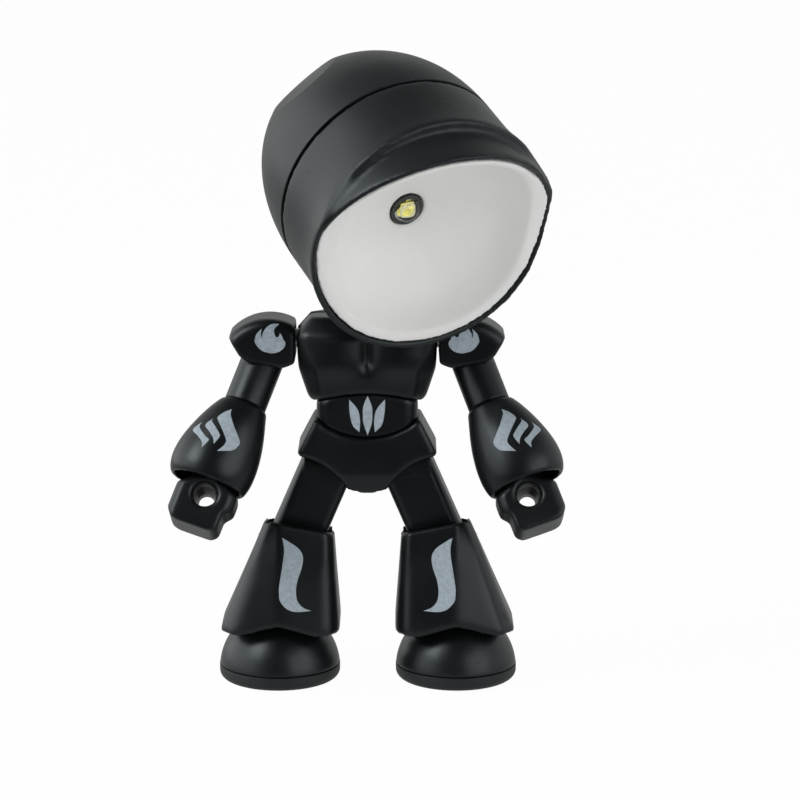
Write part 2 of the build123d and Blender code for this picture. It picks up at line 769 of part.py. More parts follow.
def make_thigh():
    """Left thigh: slanted rounded limb, both ends rounded about their joint axes."""
    half = thigh_half_width / cos(radians(leg_spread))
    low = knee_joint_z - thigh_half_depth
    top = hip_joint_z + thigh_half_depth
    inner_limit = crotch_half_width + 0.15
    outer_limit = hip_half_width - 0.75 - seat_gap
    flare = hip_edge_z - 0.2
    outline = [
        (thigh_x(low) - half, low), (thigh_x(low) + half, low),
        (min(thigh_x(flare) + half, outer_limit), flare), (outer_limit, top), (inner_limit, top),
        (inner_limit, hip_joint_z),
    ]
    limb = extrude(Plane.XZ * make_face(Polyline(*outline, close=True)), amount=thigh_half_depth, both=True)
    sides = limb.edges().filter_by(Axis.Y, reverse=True).filter_by(
        lambda edge: edge.length > 8 and abs(edge.center().Y) > 1)
    limb = fillet(sides, 1.3)
    middle = (hip_joint_z + knee_joint_z) / 2
    shape = bar_x(0, 30, hip_joint_z, thigh_half_depth) + bar_x(0, 30, knee_joint_z, thigh_half_depth)
    shape += Pos(15, 0, middle) * Box(30, 2 * thigh_half_depth, hip_joint_z - knee_joint_z)
    limb = limb & shape
    limb -= hip_axle_bar(run_gap)
    return limb - bar_x(0, 30, knee_joint_z, knee_pin_radius)


def cuff_z(x, y):
    """Height of the shin's upper edge, which falls inwards and towards the back."""
    return shin_top_z - (cuff_outer - x) * shin_slope - (y + cuff_front) * shin_back_fall


def shin_ring(points, inset, height, centre):
    """Closed face through ring points drawn in towards the centre by inset."""
    drawn = []
    for x, y in points:
        dx = x - centre
        reach = sqrt(dx * dx + y * y)
        share = (reach - inset * 1.15) / reach
        px = centre + dx * share
        drawn.append((px, y * share, height(px, y * share)))
    return make_face(Polyline(*drawn, close=True))


def shin_form(inset):
    """Flared shin box between the slanted cuff and the hem."""
    top = shin_ring(top_ring, inset, cuff_z, 10.0)
    hem = shin_ring(hem_ring, inset, lambda x, y: shin_hem_z, foot_x)
    box = loft([hem, top], ruled=True)
    sides = box.edges().filter_by(lambda edge: abs(edge.tangent_at(0.5).Z) > 0.6)
    return fillet(sides, shin_round)


def knee_pocket():
    """Room for the end of the thigh, open at the cuff and wider there for its swing."""
    low = knee_joint_z - thigh_half_depth - 1.0
    top = shin_top_z + 1
    near = thigh_half_depth + seat_gap
    across = [(5.5, top), (5.7, knee_joint_z), (6.3, low), (16.6, low), (15.0, knee_joint_z), (14.4, top)]
    along = [(-near - 1.5, top), (near + 1.5, top), (near, knee_joint_z), (near, low), (-near, low),
             (-near, knee_joint_z)]
    column = extrude(Plane.XZ * make_face(Polyline(*across, close=True)), amount=9, both=True)
    return column & extrude(Plane.YZ * make_face(Polyline(*along, close=True)), amount=30, both=True)


def make_shin():
    """Left shin: knee pocket above, hollow hem over the foot, tongue down to the ankle."""
    floor_z = foot_top_z + 1.1
    body = shin_form(0.0)
    high = shin_top_z - 5
    cuff = body.edges().filter_by(lambda edge: edge.center().Z > high and abs(edge.tangent_at(0.5).Z) < 0.5)
    body = fillet(cuff, cuff_round)
    hollow = shin_form(shin_wall) & (Pos(foot_x, 0, floor_z - 10) * Box(40, 40, 20))
    body -= hollow
    body -= Pos(foot_x, 0, shin_hem_z - 0.1) * extrude(
        Plane.XZ * make_face(Polyline((-6.4, -0.2), (0, shin_notch), (6.4, -0.2), close=True)),
        amount=12, both=True)
    body -= knee_pocket()
    tongue = Pos(foot_x, 0, (floor_z + ankle_z) / 2 + 0.5) * Box(
        2 * tongue_half_width, 2 * tongue_half_depth, floor_z - ankle_z + 1)
    tongue += bar_x(foot_x - tongue_half_width, foot_x + tongue_half_width, ankle_z, tongue_half_depth)
    body += tongue
    body -= bar_x(foot_x - 10, foot_x + 10, ankle_z, ankle_pin_radius + run_gap)
    return body - bar_x(5.2, 16.0, knee_joint_z, knee_pin_radius + run_gap)


def make_knee_pin():
    """Pin through the thigh whose ends turn in the shin's walls."""
    return bar_x(5.2 + run_gap, 16.0 - run_gap, knee_joint_z, knee_pin_radius)


def make_foot():
    """Rounded foot with a slot for the ankle tongue."""
    low = sole_thickness + sole_line
    dome = Pos(0, 0, foot_centre_z) * Sphere(foot_radius)
    dome = dome & (Pos(0, 0, (low + foot_top_z) / 2) * Box(30, 30, foot_top_z - low))
    dome += Pos(0, 0, (sole_thickness + low) / 2) * Cylinder(foot_radius - 0.5, low - sole_thickness)
    dome = scale(dome, by=(1, foot_stretch, 1))
    room = tongue_half_depth + (foot_top_z - ankle_z) * tan(radians(ankle_room)) + seat_gap
    slot = Pos(0, 0, 12) * Box(2 * (tongue_half_width + seat_gap), 2 * room, 21)
    foot = Pos(foot_x, 0, 0) * (dome - slot)
    return foot - bar_x(foot_x - 5, foot_x + 5, ankle_z, ankle_pin_radius)


def make_ankle_pin():
    """Pin across the foot that the tongue turns on."""
    return bar_x(foot_x - 5, foot_x + 5, ankle_z, ankle_pin_radius)


def make_sole():
    """Sole plate with a rounded lower edge and a flat face to stand on."""
    tall = sole_thickness + sole_shave
    plate = Pos(0, 0, sole_thickness - tall / 2) * Cylinder(foot_radius, tall)
    plate = fillet(plate.edges().group_by(Axis.Z)[0], sole_edge)
    plate = scale(plate, by=(1, foot_stretch, 1))
    plate = plate & (Pos(0, 0, sole_thickness) * Box(3 * foot_radius, 3 * foot_radius, 2 * sole_thickness))
    return Pos(foot_x, 0, 0) * plate


def build():
    """All sub-parts by name."""
    head = head_location()
    arm = arm_location()
    nodes = {
        "head_front_shell": head * make_head_front(),
        "head_rear_shell": head * make_head_rear(),
        "reflector": head * make_reflector(),
        "led_holder": head * make_led_holder(),
        "led_chip": head * make_led_chip(),
        "led_lens": head * make_led_lens(),
        "led_board": head * make_led_board(),
        "battery_tray": head * make_tray(),
        "button_cells": head * make_cells(),
        "battery_contacts": head * make_contacts(),
        "battery_door": head * make_door(),
        "battery_door_screw": head * make_door_screw(),
        "power_button": head * make_button(),
        "power_switch": head * make_switch(),
        "switch_bracket": head * make_switch_bracket(),
        "neck_cup": head * make_neck_cup(),
        "neck_ball_stem": make_neck_stem(),
        "neck_bush": make_neck_bush(),
        "chest_front": make_chest(True),
        "chest_back": make_chest(False),
        "chest_screws": Compound([chest_screw(-1, -run_gap / 2), chest_screw(1, -run_gap / 2)]),
        "abdomen": make_abdomen(),
        "pelvis": make_pelvis(),
        "hip_axle": hip_axle_bar(0.0),
    }
    left = {
        "shoulder_pin": shoulder_pin_bar(1, 0.0),
        "shoulder_pad": make_pad(),
        "upper_arm": arm * make_upper_arm(),
        "elbow_peg": arm * make_elbow_peg(),
        "forearm": arm * make_forearm(),
        "wrist_peg": arm * make_wrist_peg(),
        "hand": arm * make_hand(),
        "thigh": make_thigh(),
        "knee_pin": make_knee_pin(),
        "shin": make_shin(),
        "ankle_pin": make_ankle_pin(),
        "foot": make_foot(),
        "sole": make_sole(),
    }
    for name, shape in left.items():
        nodes["left_" + name] = shape
        nodes["right_" + name] = mirror(shape, about=Plane.YZ)
    return {name: Pos(0, figure_back, 0) * shape for name, shape in nodes.items()}


os.makedirs("parts", exist_ok=True)
for node, shape in build().items():
    export_step(shape, "parts/" + node + ".step")
    print(node, round(shape.volume, 2))
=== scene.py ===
"""Looks of the jointed figure desk lamp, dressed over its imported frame.

Sizes in the classes are in millimetres and meshes are written in metres. The figure faces -Y,
+X is its left side and +Z is up.
"""

import logging
import math
from dataclasses import dataclass, field, replace
from enum import Enum
from typing import Any, Callable, Iterable, Sequence

import bmesh
import bpy
import numpy as np
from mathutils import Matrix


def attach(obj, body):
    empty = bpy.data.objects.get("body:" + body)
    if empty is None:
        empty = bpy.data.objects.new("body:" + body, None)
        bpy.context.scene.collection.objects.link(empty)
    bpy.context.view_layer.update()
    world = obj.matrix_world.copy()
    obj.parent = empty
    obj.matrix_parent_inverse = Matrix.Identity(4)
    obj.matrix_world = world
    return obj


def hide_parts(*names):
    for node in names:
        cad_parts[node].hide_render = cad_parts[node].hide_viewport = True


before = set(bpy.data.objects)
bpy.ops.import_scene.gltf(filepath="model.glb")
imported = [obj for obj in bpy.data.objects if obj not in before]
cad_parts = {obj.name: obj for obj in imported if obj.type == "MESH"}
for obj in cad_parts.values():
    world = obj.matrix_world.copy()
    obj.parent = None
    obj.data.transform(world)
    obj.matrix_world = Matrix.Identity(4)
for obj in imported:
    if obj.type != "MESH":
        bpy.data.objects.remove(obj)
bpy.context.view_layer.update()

MM = 0.001
FIGURE_BACK = 8.55                  # the hip axle's plane, behind the origin
CREASE = math.radians(40)           # faces that meet at a larger angle keep their edge
BEVEL_SAMPLES = 6
SIDES = {"right": -1, "left": 1}    # and the sign of x there
WHITE = (1.0, 1.0, 1.0)
Colour = tuple[float, float, float]
Place = tuple[float, float, float]
Point = tuple[float, float]
log = logging.getLogger("desk_lamp")


# Material building

class Signal:
    """One output of a material's nodes, with arithmetic that adds Math nodes."""

    def __init__(self, recipe: "Recipe", socket: bpy.types.NodeSocket) -> None:
        """Remember the recipe and the socket."""
        self.recipe = recipe
        self.socket = socket

    def _math(self, operation: str, *values: Any) -> "Signal":
        """Add one Math node.

        Args:
            operation: The node's operation.
            values: Its inputs in order.

        Returns:
            The node's output.
        """
        return self.recipe.out("ShaderNodeMath", {"operation": operation}, dict(enumerate(values)))

    def __add__(self, other: Any) -> "Signal":
        """Sum."""
        return self._math("ADD", self, other)

    def __radd__(self, other: Any) -> "Signal":
        """Sum, number first."""
        return self._math("ADD", other, self)

    def __sub__(self, other: Any) -> "Signal":
        """Difference."""
        return self._math("SUBTRACT", self, other)

    def __rsub__(self, other: Any) -> "Signal":
        """Difference, number first."""
        return self._math("SUBTRACT", other, self)

    def __mul__(self, other: Any) -> "Signal":
        """Product."""
        return self._math("MULTIPLY", self, other)

    def __rmul__(self, other: Any) -> "Signal":
        """Product, number first."""
        return self._math("MULTIPLY", other, self)

    def step(self, low: float, high: float) -> "Signal":
        """Smooth rise from 0 at low to 1 at high.

        Args:
            low: Value that gives 0.
            high: Value that gives 1.

        Returns:
            The eased value.
        """
        smooth = {"interpolation_type": "SMOOTHSTEP"}
        return self.recipe.out("ShaderNodeMapRange", smooth, {0: self, 1: low, 2: high, 3: 0.0, 4: 1.0})


class Recipe:
    """The nodes of a material or of the surroundings under construction."""

    def __init__(self, owner: bpy.types.Material | bpy.types.World, coordinates: str = "Object") -> None:
        """Start with no nodes but the coordinates.

        Args:
            owner: The material or world.
            coordinates: Which texture coordinates place reads.
        """
        self.owner = owner
        owner.use_nodes = True
        self.tree = owner.node_tree
        self.tree.nodes.clear()
        self.place = self.out("ShaderNodeTexCoord", {}, {}, coordinates)

    def node(self, kind: str, settings: dict[str, Any], inputs: dict[Any, Any]) -> bpy.types.Node:
        """Add a node.

        Args:
            kind: The node's type.
            settings: Its properties, set before its sockets.
            inputs: Values or signals by socket name or number.

        Returns:
            The new node.
        """
        made = self.tree.nodes.new(kind)
        for key, value in settings.items():
            setattr(made, key, value)
        for key, value in inputs.items():
            socket = made.inputs[key]
            if isinstance(value, Signal):
                self.tree.links.new(value.socket, socket)
            elif socket.type == "RGBA" and len(value) == 3:
                socket.default_value = (*value, 1.0)
            else:
                socket.default_value = value
        return made

    def out(
        self, kind: str, settings: dict[str, Any], inputs: dict[Any, Any], output: Any = 0,
    ) -> Signal:
        """Add a node and return one of its outputs as a signal."""
        return Signal(self, self.node(kind, settings, inputs).outputs[output])

    def noise(self, size: float, detail: float = 2.0, stretch: Sequence[float] = (1, 1, 1)) -> Signal:
        """Cloudy value about 0.5.

        Args:
            size: Size of its blotches in millimetres.
            detail: How many finer layers it has.
            stretch: Shares of the frequency along x, y and z.

        Returns:
            The noise factor.
        """
        stretched = {"Vector": self.place, "Scale": stretch}
        where = self.out("ShaderNodeMapping", {"vector_type": "POINT"}, stretched)
        scale = 1 / (size * MM)
        return self.out("ShaderNodeTexNoise", {}, {"Vector": where, "Scale": scale, "Detail": detail})

    def along(self, axis: int) -> Signal:
        """Coordinate along axis 0, 1 or 2."""
        return self.out("ShaderNodeSeparateXYZ", {}, {0: self.place}, axis)

    def cells(self, size: float) -> Signal:
        """Distance to scattered points about size millimetres apart, as a share of size."""
        return self.out("ShaderNodeTexVoronoi", {}, {"Vector": self.place, "Scale": 1 / (size * MM)})

    def blend(self, factor: Any, first: Any, second: Any) -> Signal:
        """Colour mixed from first to second by factor."""
        return self.out("ShaderNodeMix", {"data_type": "RGBA"}, {0: factor, 6: first, 7: second}, 2)

    def rounded(self, radius: float) -> Signal:
        """Normal with the piece's edges rounded.

        Args:
            radius: Radius of the rounding in millimetres.

        Returns:
            The rounded normal.
        """
        return self.out("ShaderNodeBevel", {"samples": BEVEL_SAMPLES}, {"Radius": radius * MM})

    def edges(self, rounded: Signal) -> Signal:
        """How far the rounded normal leans from the face's own: 1 less their dot product.

        Args:
            rounded: The rounded normal.

        Returns:
            0 on flats, more on edges.
        """
        flat = self.out("ShaderNodeNewGeometry", {}, {}, "Normal")
        dot = {"operation": "DOT_PRODUCT"}
        return 1 - self.out("ShaderNodeVectorMath", dot, {0: rounded, 1: flat}, "Value")

    def bump(self, height: Signal, depth: float, normal: Signal | None = None) -> Signal:
        """Relief.

        Args:
            height: Relief from 0 to 1.
            depth: Its depth in millimetres.
            normal: Normal that it is laid on.

        Returns:
            The normal with the relief.
        """
        inputs: dict[Any, Any] = {"Height": height, "Distance": depth * MM, "Strength": 1.0}
        if normal is not None:
            inputs["Normal"] = normal
        return self.out("ShaderNodeBump", {}, inputs)

    def close(self, inputs: dict[str, Any]) -> bpy.types.Material:
        """End with a Principled shader.

        Args:
            inputs: Its sockets.

        Returns:
            The finished material.
        """
        shader = self.out("ShaderNodeBsdfPrincipled", {}, inputs)
        self.node("ShaderNodeOutputMaterial", {}, {"Surface": shader})
        return self.owner


def shade(colour: Colour, share: float) -> Colour:
    """Colour multiplied by share, kept at or under white."""
    return tuple(min(1.0, part * share) for part in colour)


@dataclass(frozen=True)
class Plastic:
    """Moulded plastic: drifting tone, fine grain, rubbed edges, specks of dust and hairline scuffs."""

    name: str
    colour: Colour
    roughness: float = 0.42
    gloss: float = 0.45
    tint: Colour = (0.86, 0.97, 1.0)    # of its reflections
    cloud: float = 0.16                 # how far the tone drifts
    cloud_size: float = 7.0
    grain: float = 0.012                # depth of the moulded grain
    grain_size: float = 0.16
    edge: float = 0.35                  # radius of the rounded edges
    rub: float = 1.7                    # how much lighter a rubbed edge is
    rub_size: float = 2.5
    rub_share: float = 0.55
    dust: Colour = (0.20, 0.20, 0.20)
    dust_share: float = 0.35
    dust_gap: float = 1.1               # between the places where a speck may lie
    scuff_size: float = 1.6
    scuff_stretch: Place = (0.12, 1.0, 1.0)

    def make(self) -> bpy.types.Material:
        """Build the material.

        Returns:
            The finished material.
        """
        r = Recipe(bpy.data.materials.new(self.name))
        rounded = r.rounded(self.edge)
        drift = r.noise(self.cloud_size, 3.0)
        darker, lighter = shade(self.colour, 1 - self.cloud), shade(self.colour, 1 + self.cloud)
        base = r.blend(drift.step(0.3, 0.7), darker, lighter)
        patches = r.noise(self.rub_size, 4.0).step(0.42, 0.62)
        worn = r.edges(rounded).step(0.03, 0.30) * patches
        base = r.blend(worn * self.rub_share, base, shade(self.colour, self.rub))
        dusty = r.noise(3.0, 1.0).step(0.55, 0.65)
        speck = (1 - r.cells(self.dust_gap).step(0.035, 0.06)) * dusty
        base = r.blend(speck * self.dust_share, base, self.dust)
        scuffed = r.noise(9.0, 1.0).step(0.5, 0.6)
        scuff = r.noise(self.scuff_size, 3.0, self.scuff_stretch).step(0.66, 0.70) * scuffed
        rough = self.roughness + (drift - 0.5) * 0.16 + scuff * 0.12 - worn * 0.08
        grain = r.noise(self.grain_size, 2.0)
        return r.close({
            "Base Color": base, "Roughness": rough,
            "Specular IOR Level": self.gloss, "Specular Tint": self.tint,
            "Normal": r.bump(grain, self.grain, rounded),
        })


@dataclass(frozen=True)
class WhiteBowl:
    """Matt white moulding of the bowl: drifting tone, specks, a little yellowing near the LED."""

    name: str
    colour: Colour
    centre: Place
    yellowed: Colour = (0.80, 0.78, 0.70)
    yellow_share: float = 0.10
    yellow_reach: Point = (2.4, 7.0)    # from the LED: full up to the first, none past the second
    dust: Colour = (0.42, 0.42, 0.40)
    dust_share: float = 0.35
    dust_gap: float = 2.2

    def make(self) -> bpy.types.Material:
        """Build the material.

        Returns:
            The finished material.
        """
        r = Recipe(bpy.data.materials.new(self.name))
        away = r.out("ShaderNodeVectorMath", {"operation": "DISTANCE"},
                     {0: r.place, 1: tuple(v * MM for v in self.centre)}, "Value")
        near = 1 - away.step(*(reach * MM for reach in self.yellow_reach))
        drift = r.noise(6.0, 3.0)
        base = r.blend(drift.step(0.3, 0.7), shade(self.colour, 0.975), self.colour)
        base = r.blend(near * self.yellow_share, base, self.yellowed)
        speck = (1 - r.cells(self.dust_gap).step(0.02, 0.035)) * r.noise(4.0, 1.0).step(0.52, 0.6)
        base = r.blend(speck * self.dust_share, base, self.dust)
        rough = 0.48 + (drift - 0.5) * 0.12
        return r.close({
            "Base Color": base, "Roughness": rough, "Specular IOR Level": 0.35,
            "Normal": r.bump(r.noise(0.25, 2.0), 0.006, r.rounded(0.2)),
        })


@dataclass(frozen=True)
class Metal:
    """Plated or plain metal: drawn lines, faint tarnish and rounded edges."""

    name: str
    colour: Colour
    roughness: float = 0.32
    stretch: Place = (0.08, 1.0, 1.0)       # of the drawn lines
    tarnish: Colour = (0.20, 0.17, 0.12)
    stain: float = 0.25                     # how strongly it shows

    def make(self) -> bpy.types.Material:
        """Build the material.

        Returns:
            The finished material.
        """
        r = Recipe(bpy.data.materials.new(self.name))
        lines = r.noise(0.15, 3.0, self.stretch)
        blot = r.noise(1.8, 4.0).step(0.52, 0.75)
        base = r.blend(lines.step(0.25, 0.75), shade(self.colour, 0.86), shade(self.colour, 1.06))
        base = r.blend(blot * self.stain, base, self.tarnish)
        rough = self.roughness + (lines - 0.5) * 0.2 + blot * 0.14
        return r.close({
            "Base Color": base, "Roughness": rough, "Metallic": 1.0,
            "Normal": r.bump(lines, 0.004, r.rounded(0.15)),
        })


@dataclass(frozen=True)
class SolderMask:
    """Green circuit board: mask over raised copper runs, with silk-smooth gloss."""

    name: str
    colour: Colour
    run_gap: float = 9.0
    run_raised: float = 0.03

    def make(self) -> bpy.types.Material:
        """Build the material.

        Returns:
            The finished material.
        """
        r = Recipe(bpy.data.materials.new(self.name))
        run = r.out("ShaderNodeTexWave", {"wave_type": "BANDS", "bands_direction": "DIAGONAL"},
                    {"Vector": r.place, "Scale": 1 / (self.run_gap * MM), "Distortion": 3.0, "Detail": 0.0})
        copper = run.step(0.55, 0.62)
        drift = r.noise(3.0, 2.0)
        base = r.blend(copper, self.colour, shade(self.colour, 1.9))
        base = r.blend(drift.step(0.3, 0.7) * 0.25, base, shade(self.colour, 0.7))
        rough = 0.22 + drift * 0.16
        return r.close({
            "Base Color": base, "Roughness": rough,
            "Normal": r.bump(copper, self.run_raised, r.rounded(0.1)),
        })


@dataclass(frozen=True)
class Phosphor:
    """Yellow phosphor over the emitter, grainy and matt, with a painted glow that makes it shine though the
    LED is off.
    """

    name: str
    colour: Colour
    # strength of the painted glow that brightens the phosphor; the LED itself gives no light
    glow: float = 0.4

    def make(self) -> bpy.types.Material:
        """Build the material.

        Returns:
            The finished material.
        """
        r = Recipe(bpy.data.materials.new(self.name))
        grain = r.noise(0.12, 3.0)
        base = r.blend(grain.step(0.3, 0.7), shade(self.colour, 0.82), shade(self.colour, 1.1))
        return r.close({
            "Base Color": base, "Roughness": 0.55 + grain * 0.2,
            "Normal": r.bump(grain, 0.012, r.rounded(0.12)),
            # painted glow: the phosphor's own colour given out as light
            "Emission Color": base, "Emission Strength": self.glow,
        })


@dataclass(frozen=True)
class ClearDome:
    """Clear cast dome: mostly see-through, with a smooth glossy skin and faint casting ripples."""

    name: str

    def make(self) -> bpy.types.Material:
        """Build the material.

        Returns:
            The finished material.
        """
        r = Recipe(bpy.data.materials.new(self.name))
        ripple = r.noise(0.9, 2.0)
        return r.close({
            "Base Color": r.blend(ripple, (0.97, 0.98, 0.96), WHITE), "Roughness": 0.02 + ripple * 0.04,
            "IOR": 1.45, "Transmission Weight": 1.0, "Normal": r.bump(ripple, 0.01),
        })


@dataclass(frozen=True)
class PadPrint:
    """Pale pad-printed paint: slightly uneven cover with pinholes and a soft satin skin."""

    name: str
    colour: Colour
    under: Colour                   # what shows through its pinholes
    pinhole_gap: float = 0.42
    pinhole_share: float = 0.6

    def make(self) -> bpy.types.Material:
        """Build the material.

        Returns:
            The finished material.
        """
        r = Recipe(bpy.data.materials.new(self.name))
        cover = r.noise(0.5, 4.0)
        pinhole = (1 - r.cells(self.pinhole_gap).step(0.06, 0.12)) * r.noise(1.3, 2.0).step(0.5, 0.6)
        base = r.blend(cover.step(0.28, 0.72), shade(self.colour, 0.86), shade(self.colour, 1.10))
        base = r.blend(pinhole * self.pinhole_share, base, self.under)
        return r.close({
            "Base Color": base, "Roughness": 0.5 + (cover - 0.5) * 0.2, "Specular IOR Level": 0.3,
            "Normal": r.bump(cover, 0.01),
        })


class Slot(Enum):
    """Material slots of the record, named for each kind of new piece; the builders take them as an argument
    that they do not read.

    The record has no slot for the prints' paint, so they name the slot of the plastic under them.
    """

    BODY = "body_plastic"
    HEAD = "head_shell"
    PHOSPHOR = "led_phosphor"
    PRINT = "body_plastic"
    BOWL = "reflector_white"
    PIN = "pin_steel"


# Mesh building

def ramp(values: np.ndarray, start: float, width: float) -> np.ndarray:
    """Share that goes evenly from 0 at start to 1 at start + width, which may lie below start."""
    return np.clip((values - start) / width, 0, 1)


def spline(points: Sequence[Point], count: int) -> np.ndarray:
    """Smooth open curve through points.

    Each span is a Catmull-Rom cubic, half of
    2b + (c - a)t + (2a - 5b + 4c - d)t^2 + (3b - a - 3c + d)t^3,
    with the end points mirrored outwards for the missing neighbours.

    Args:
        points: Points that it passes through.
        count: Number of places on it, evenly spread over the spans.

    Returns:
        Places as rows.
    """
    base = np.asarray(points, float)
    padded = np.vstack([2 * base[0] - base[1], base, 2 * base[-1] - base[-2]])
    where = np.linspace(0, len(base) - 1, count)
    span = np.minimum(where.astype(int), len(base) - 2)
    t = (where - span)[:, None]
    a, b, c, d = (padded[span + k] for k in range(4))
    square, cube = (2 * a - 5 * b + 4 * c - d) * t ** 2, (3 * b - a - 3 * c + d) * t ** 3
    return 0.5 * (2 * b + (c - a) * t + square + cube)


def grid_faces(rows: int, cols: int, wrap: bool = False) -> np.ndarray:
    """Four-sided faces of a grid of points.

    Args:
        rows: Number of rows of points.
        cols: Points in a row.
        wrap: Whether each row closes on itself.

    Returns:
        Point numbers of each face.
    """
    i, j = np.meshgrid(np.arange(rows - 1), np.arange(cols if wrap else cols - 1), indexing="ij")
    k = (j + 1) % cols
    below = i + 1
    faces = np.stack([i * cols + j, i * cols + k, below * cols + k, below * cols + j], -1)
    return faces.reshape(-1, 4)


def closed_sheet(top: np.ndarray, low: np.ndarray) -> tuple[np.ndarray, np.ndarray]:
    """Thin closed body between two grids of the same size.

    Args:
        top: Grid of points, rows by columns by three.
        low: The grid under it.

    Returns:
        Points, and faces of both grids and of the wall round them.
    """
    rows, cols = top.shape[:2]
    faces = grid_faces(rows, cols)
    number = np.arange(rows * cols).reshape(rows, cols)
    rim = np.concatenate([number[0, :-1], number[:-1, -1], number[-1, :0:-1], number[:0:-1, 0]])
    after = np.roll(rim, -1)
    total = rows * cols
    wall = np.stack([rim, after, after + total, rim + total], -1)
    points = np.vstack([top.reshape(-1, 3), low.reshape(-1, 3)])
    return points, np.vstack([faces, faces[:, ::-1] + total, wall])


def add_object(name: str, data: Any) -> bpy.types.Object:
    """Put an object into the scene.

    Args:
        name: Its name.
        data: Its mesh, lamp or camera.

    Returns:
        The new object.
    """
    made = bpy.data.objects.new(name, data)
    bpy.context.scene.collection.objects.link(made)
    return made


def add_piece(name: str, mesh: bpy.types.Mesh, body: str) -> bpy.types.Object:
    """Put a finished mesh into the scene as a piece of the lamp.

    Args:
        name: The piece's name.
        mesh: Its mesh, with its material.
        body: The body it rides on.

    Returns:
        The new object.
    """
    piece = add_object(name, mesh)
    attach(piece, body)
    log.info("%s: %d faces on %s", name, len(mesh.polygons), body)
    return piece


def add_surface(
    name: str, points: np.ndarray, faces: np.ndarray, material: bpy.types.Material, slot: Slot, body: str,
) -> bpy.types.Object:
    """Put a surface into the scene, its doubles merged and its faces pointing outwards.

    Args:
        name: The piece's name.
        points: Points in millimetres.
        faces: Point numbers of its faces.
        material: Its finish.
        slot: Not used.
        body: The body it rides on.

    Returns:
        The new object.
    """
    mesh = bpy.data.meshes.new(name)
    mesh.from_pydata((points * MM).tolist(), [], faces.tolist())
    work = bmesh.new()
    work.from_mesh(mesh)
    bmesh.ops.remove_doubles(work, verts=work.verts, dist=1e-7)
    bmesh.ops.dissolve_degenerate(work, edges=work.edges, dist=1e-8)
    bmesh.ops.recalc_face_normals(work, faces=work.faces)
    work.to_mesh(mesh)
    work.free()
    mesh.materials.append(material)
    mesh.shade_smooth()
    mesh.set_sharp_from_angle(angle=CREASE)
    return add_piece(name, mesh, body)


def mesh_points(mesh: bpy.types.Mesh) -> np.ndarray:
    """Points of a mesh.

    Args:
        mesh: The mesh.

    Returns:
        Its points in millimetres, as rows.
    """
    places = np.zeros(len(mesh.vertices) * 3)
    mesh.vertices.foreach_get("co", places)
    return places.reshape(-1, 3) / MM


SKINS: dict[str, bpy.types.Mesh] = {}       # softened forms by node, for the prints laid on them


@dataclass
class Skin:
    """A CAD node's form as it comes out of a mould: its corners rounded and its faces slightly full."""

    node: str
    body: str
    cell: float = 0.22              # side of the cells that the form is cut into, 0 to keep its faces
    rounds: int = 12                # passes of smoothing
    form: Callable[[np.ndarray], np.ndarray] | None = None      # moves the points afterwards
    share: Callable[[np.ndarray], np.ndarray] | None = None     # how much of each pass a point takes
    core: Point | None = None       # upright middle line of a hollow piece
    room: float = 0.12              # how far its inner walls are moved from that line
    inner_share: float = 0.06       # how much of each pass they take
    merge: float = 1e-6             # distance in metres at which points are one

    def cells(self) -> bpy.types.Mesh:
        """Copy the node's mesh, merge its doubles and cut it into even cells.

        Returns:
            The new mesh.
        """
        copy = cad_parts[self.node].data.copy()
        work = bmesh.new()
        work.from_mesh(copy)
        bmesh.ops.remove_doubles(work, verts=work.verts, dist=self.merge)
        work.to_mesh(copy)
        work.free()
        if not self.cell:
            return copy
        holder = add_object(f"{self.node}_cells", copy)
        remesh = holder.modifiers.new("cells", "REMESH")
        remesh.mode = "VOXEL"
        remesh.voxel_size = self.cell * MM
        remesh.adaptivity = 0.0
        graph = bpy.context.evaluated_depsgraph_get()
        graph.update()
        even = bpy.data.meshes.new_from_object(holder.evaluated_get(graph))
        bpy.data.objects.remove(holder)
        bpy.data.meshes.remove(copy)
        return even

    def build(self, material: bpy.types.Material, slot: Slot) -> bpy.types.Object:
        """Lay the softened form over the node.

        In each pass every point moves to the mean of its neighbours, by half of its share.

        Args:
            material: The finish.
            slot: Not used.

        Returns:
            The piece that replaces the node.
        """
        mesh = self.cells()
        points = mesh_points(mesh)
        ends = np.zeros(len(mesh.edges) * 2, dtype=np.int64)
        mesh.edges.foreach_get("vertices", ends)
        first, second = ends.reshape(-1, 2).T
        both_ways, others = np.concatenate([first, second]), np.concatenate([second, first])
        count = np.bincount(both_ways, minlength=len(points)).clip(1)
        pull = 0.5 * (self.share(points)[:, None] if self.share else 1.0)
        if self.core:
            facing = np.zeros(len(points) * 3)
            mesh.vertices.foreach_get("normal", facing)
            away = points[:, :2] - np.array(self.core)
            inner = (away * facing.reshape(-1, 3)[:, :2]).sum(-1) < 0
            pull = pull * np.where(inner, self.inner_share, 1.0)[:, None]
            length = np.linalg.norm(away[inner], axis=1, keepdims=True)
            points[inner, :2] += self.room * away[inner] / length
        for _ in range(self.rounds):
            sums = [np.bincount(both_ways, points[others, k], len(points)) for k in range(3)]
            points = (1 - pull) * points + pull * np.stack(sums, -1) / count[:, None]
        if self.form:
            points = self.form(points)
        mesh.vertices.foreach_set("co", (points * MM).ravel())
        mesh.name = f"{self.node}_skin"
        mesh.materials.clear()
        mesh.materials.append(material)
        mesh.shade_smooth()
        if not self.cell:
            mesh.set_sharp_from_angle(angle=CREASE)
        mesh.update()
        piece = add_piece(mesh.name, mesh, self.body)
        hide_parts(self.node)
        SKINS[self.node] = mesh
        return piece


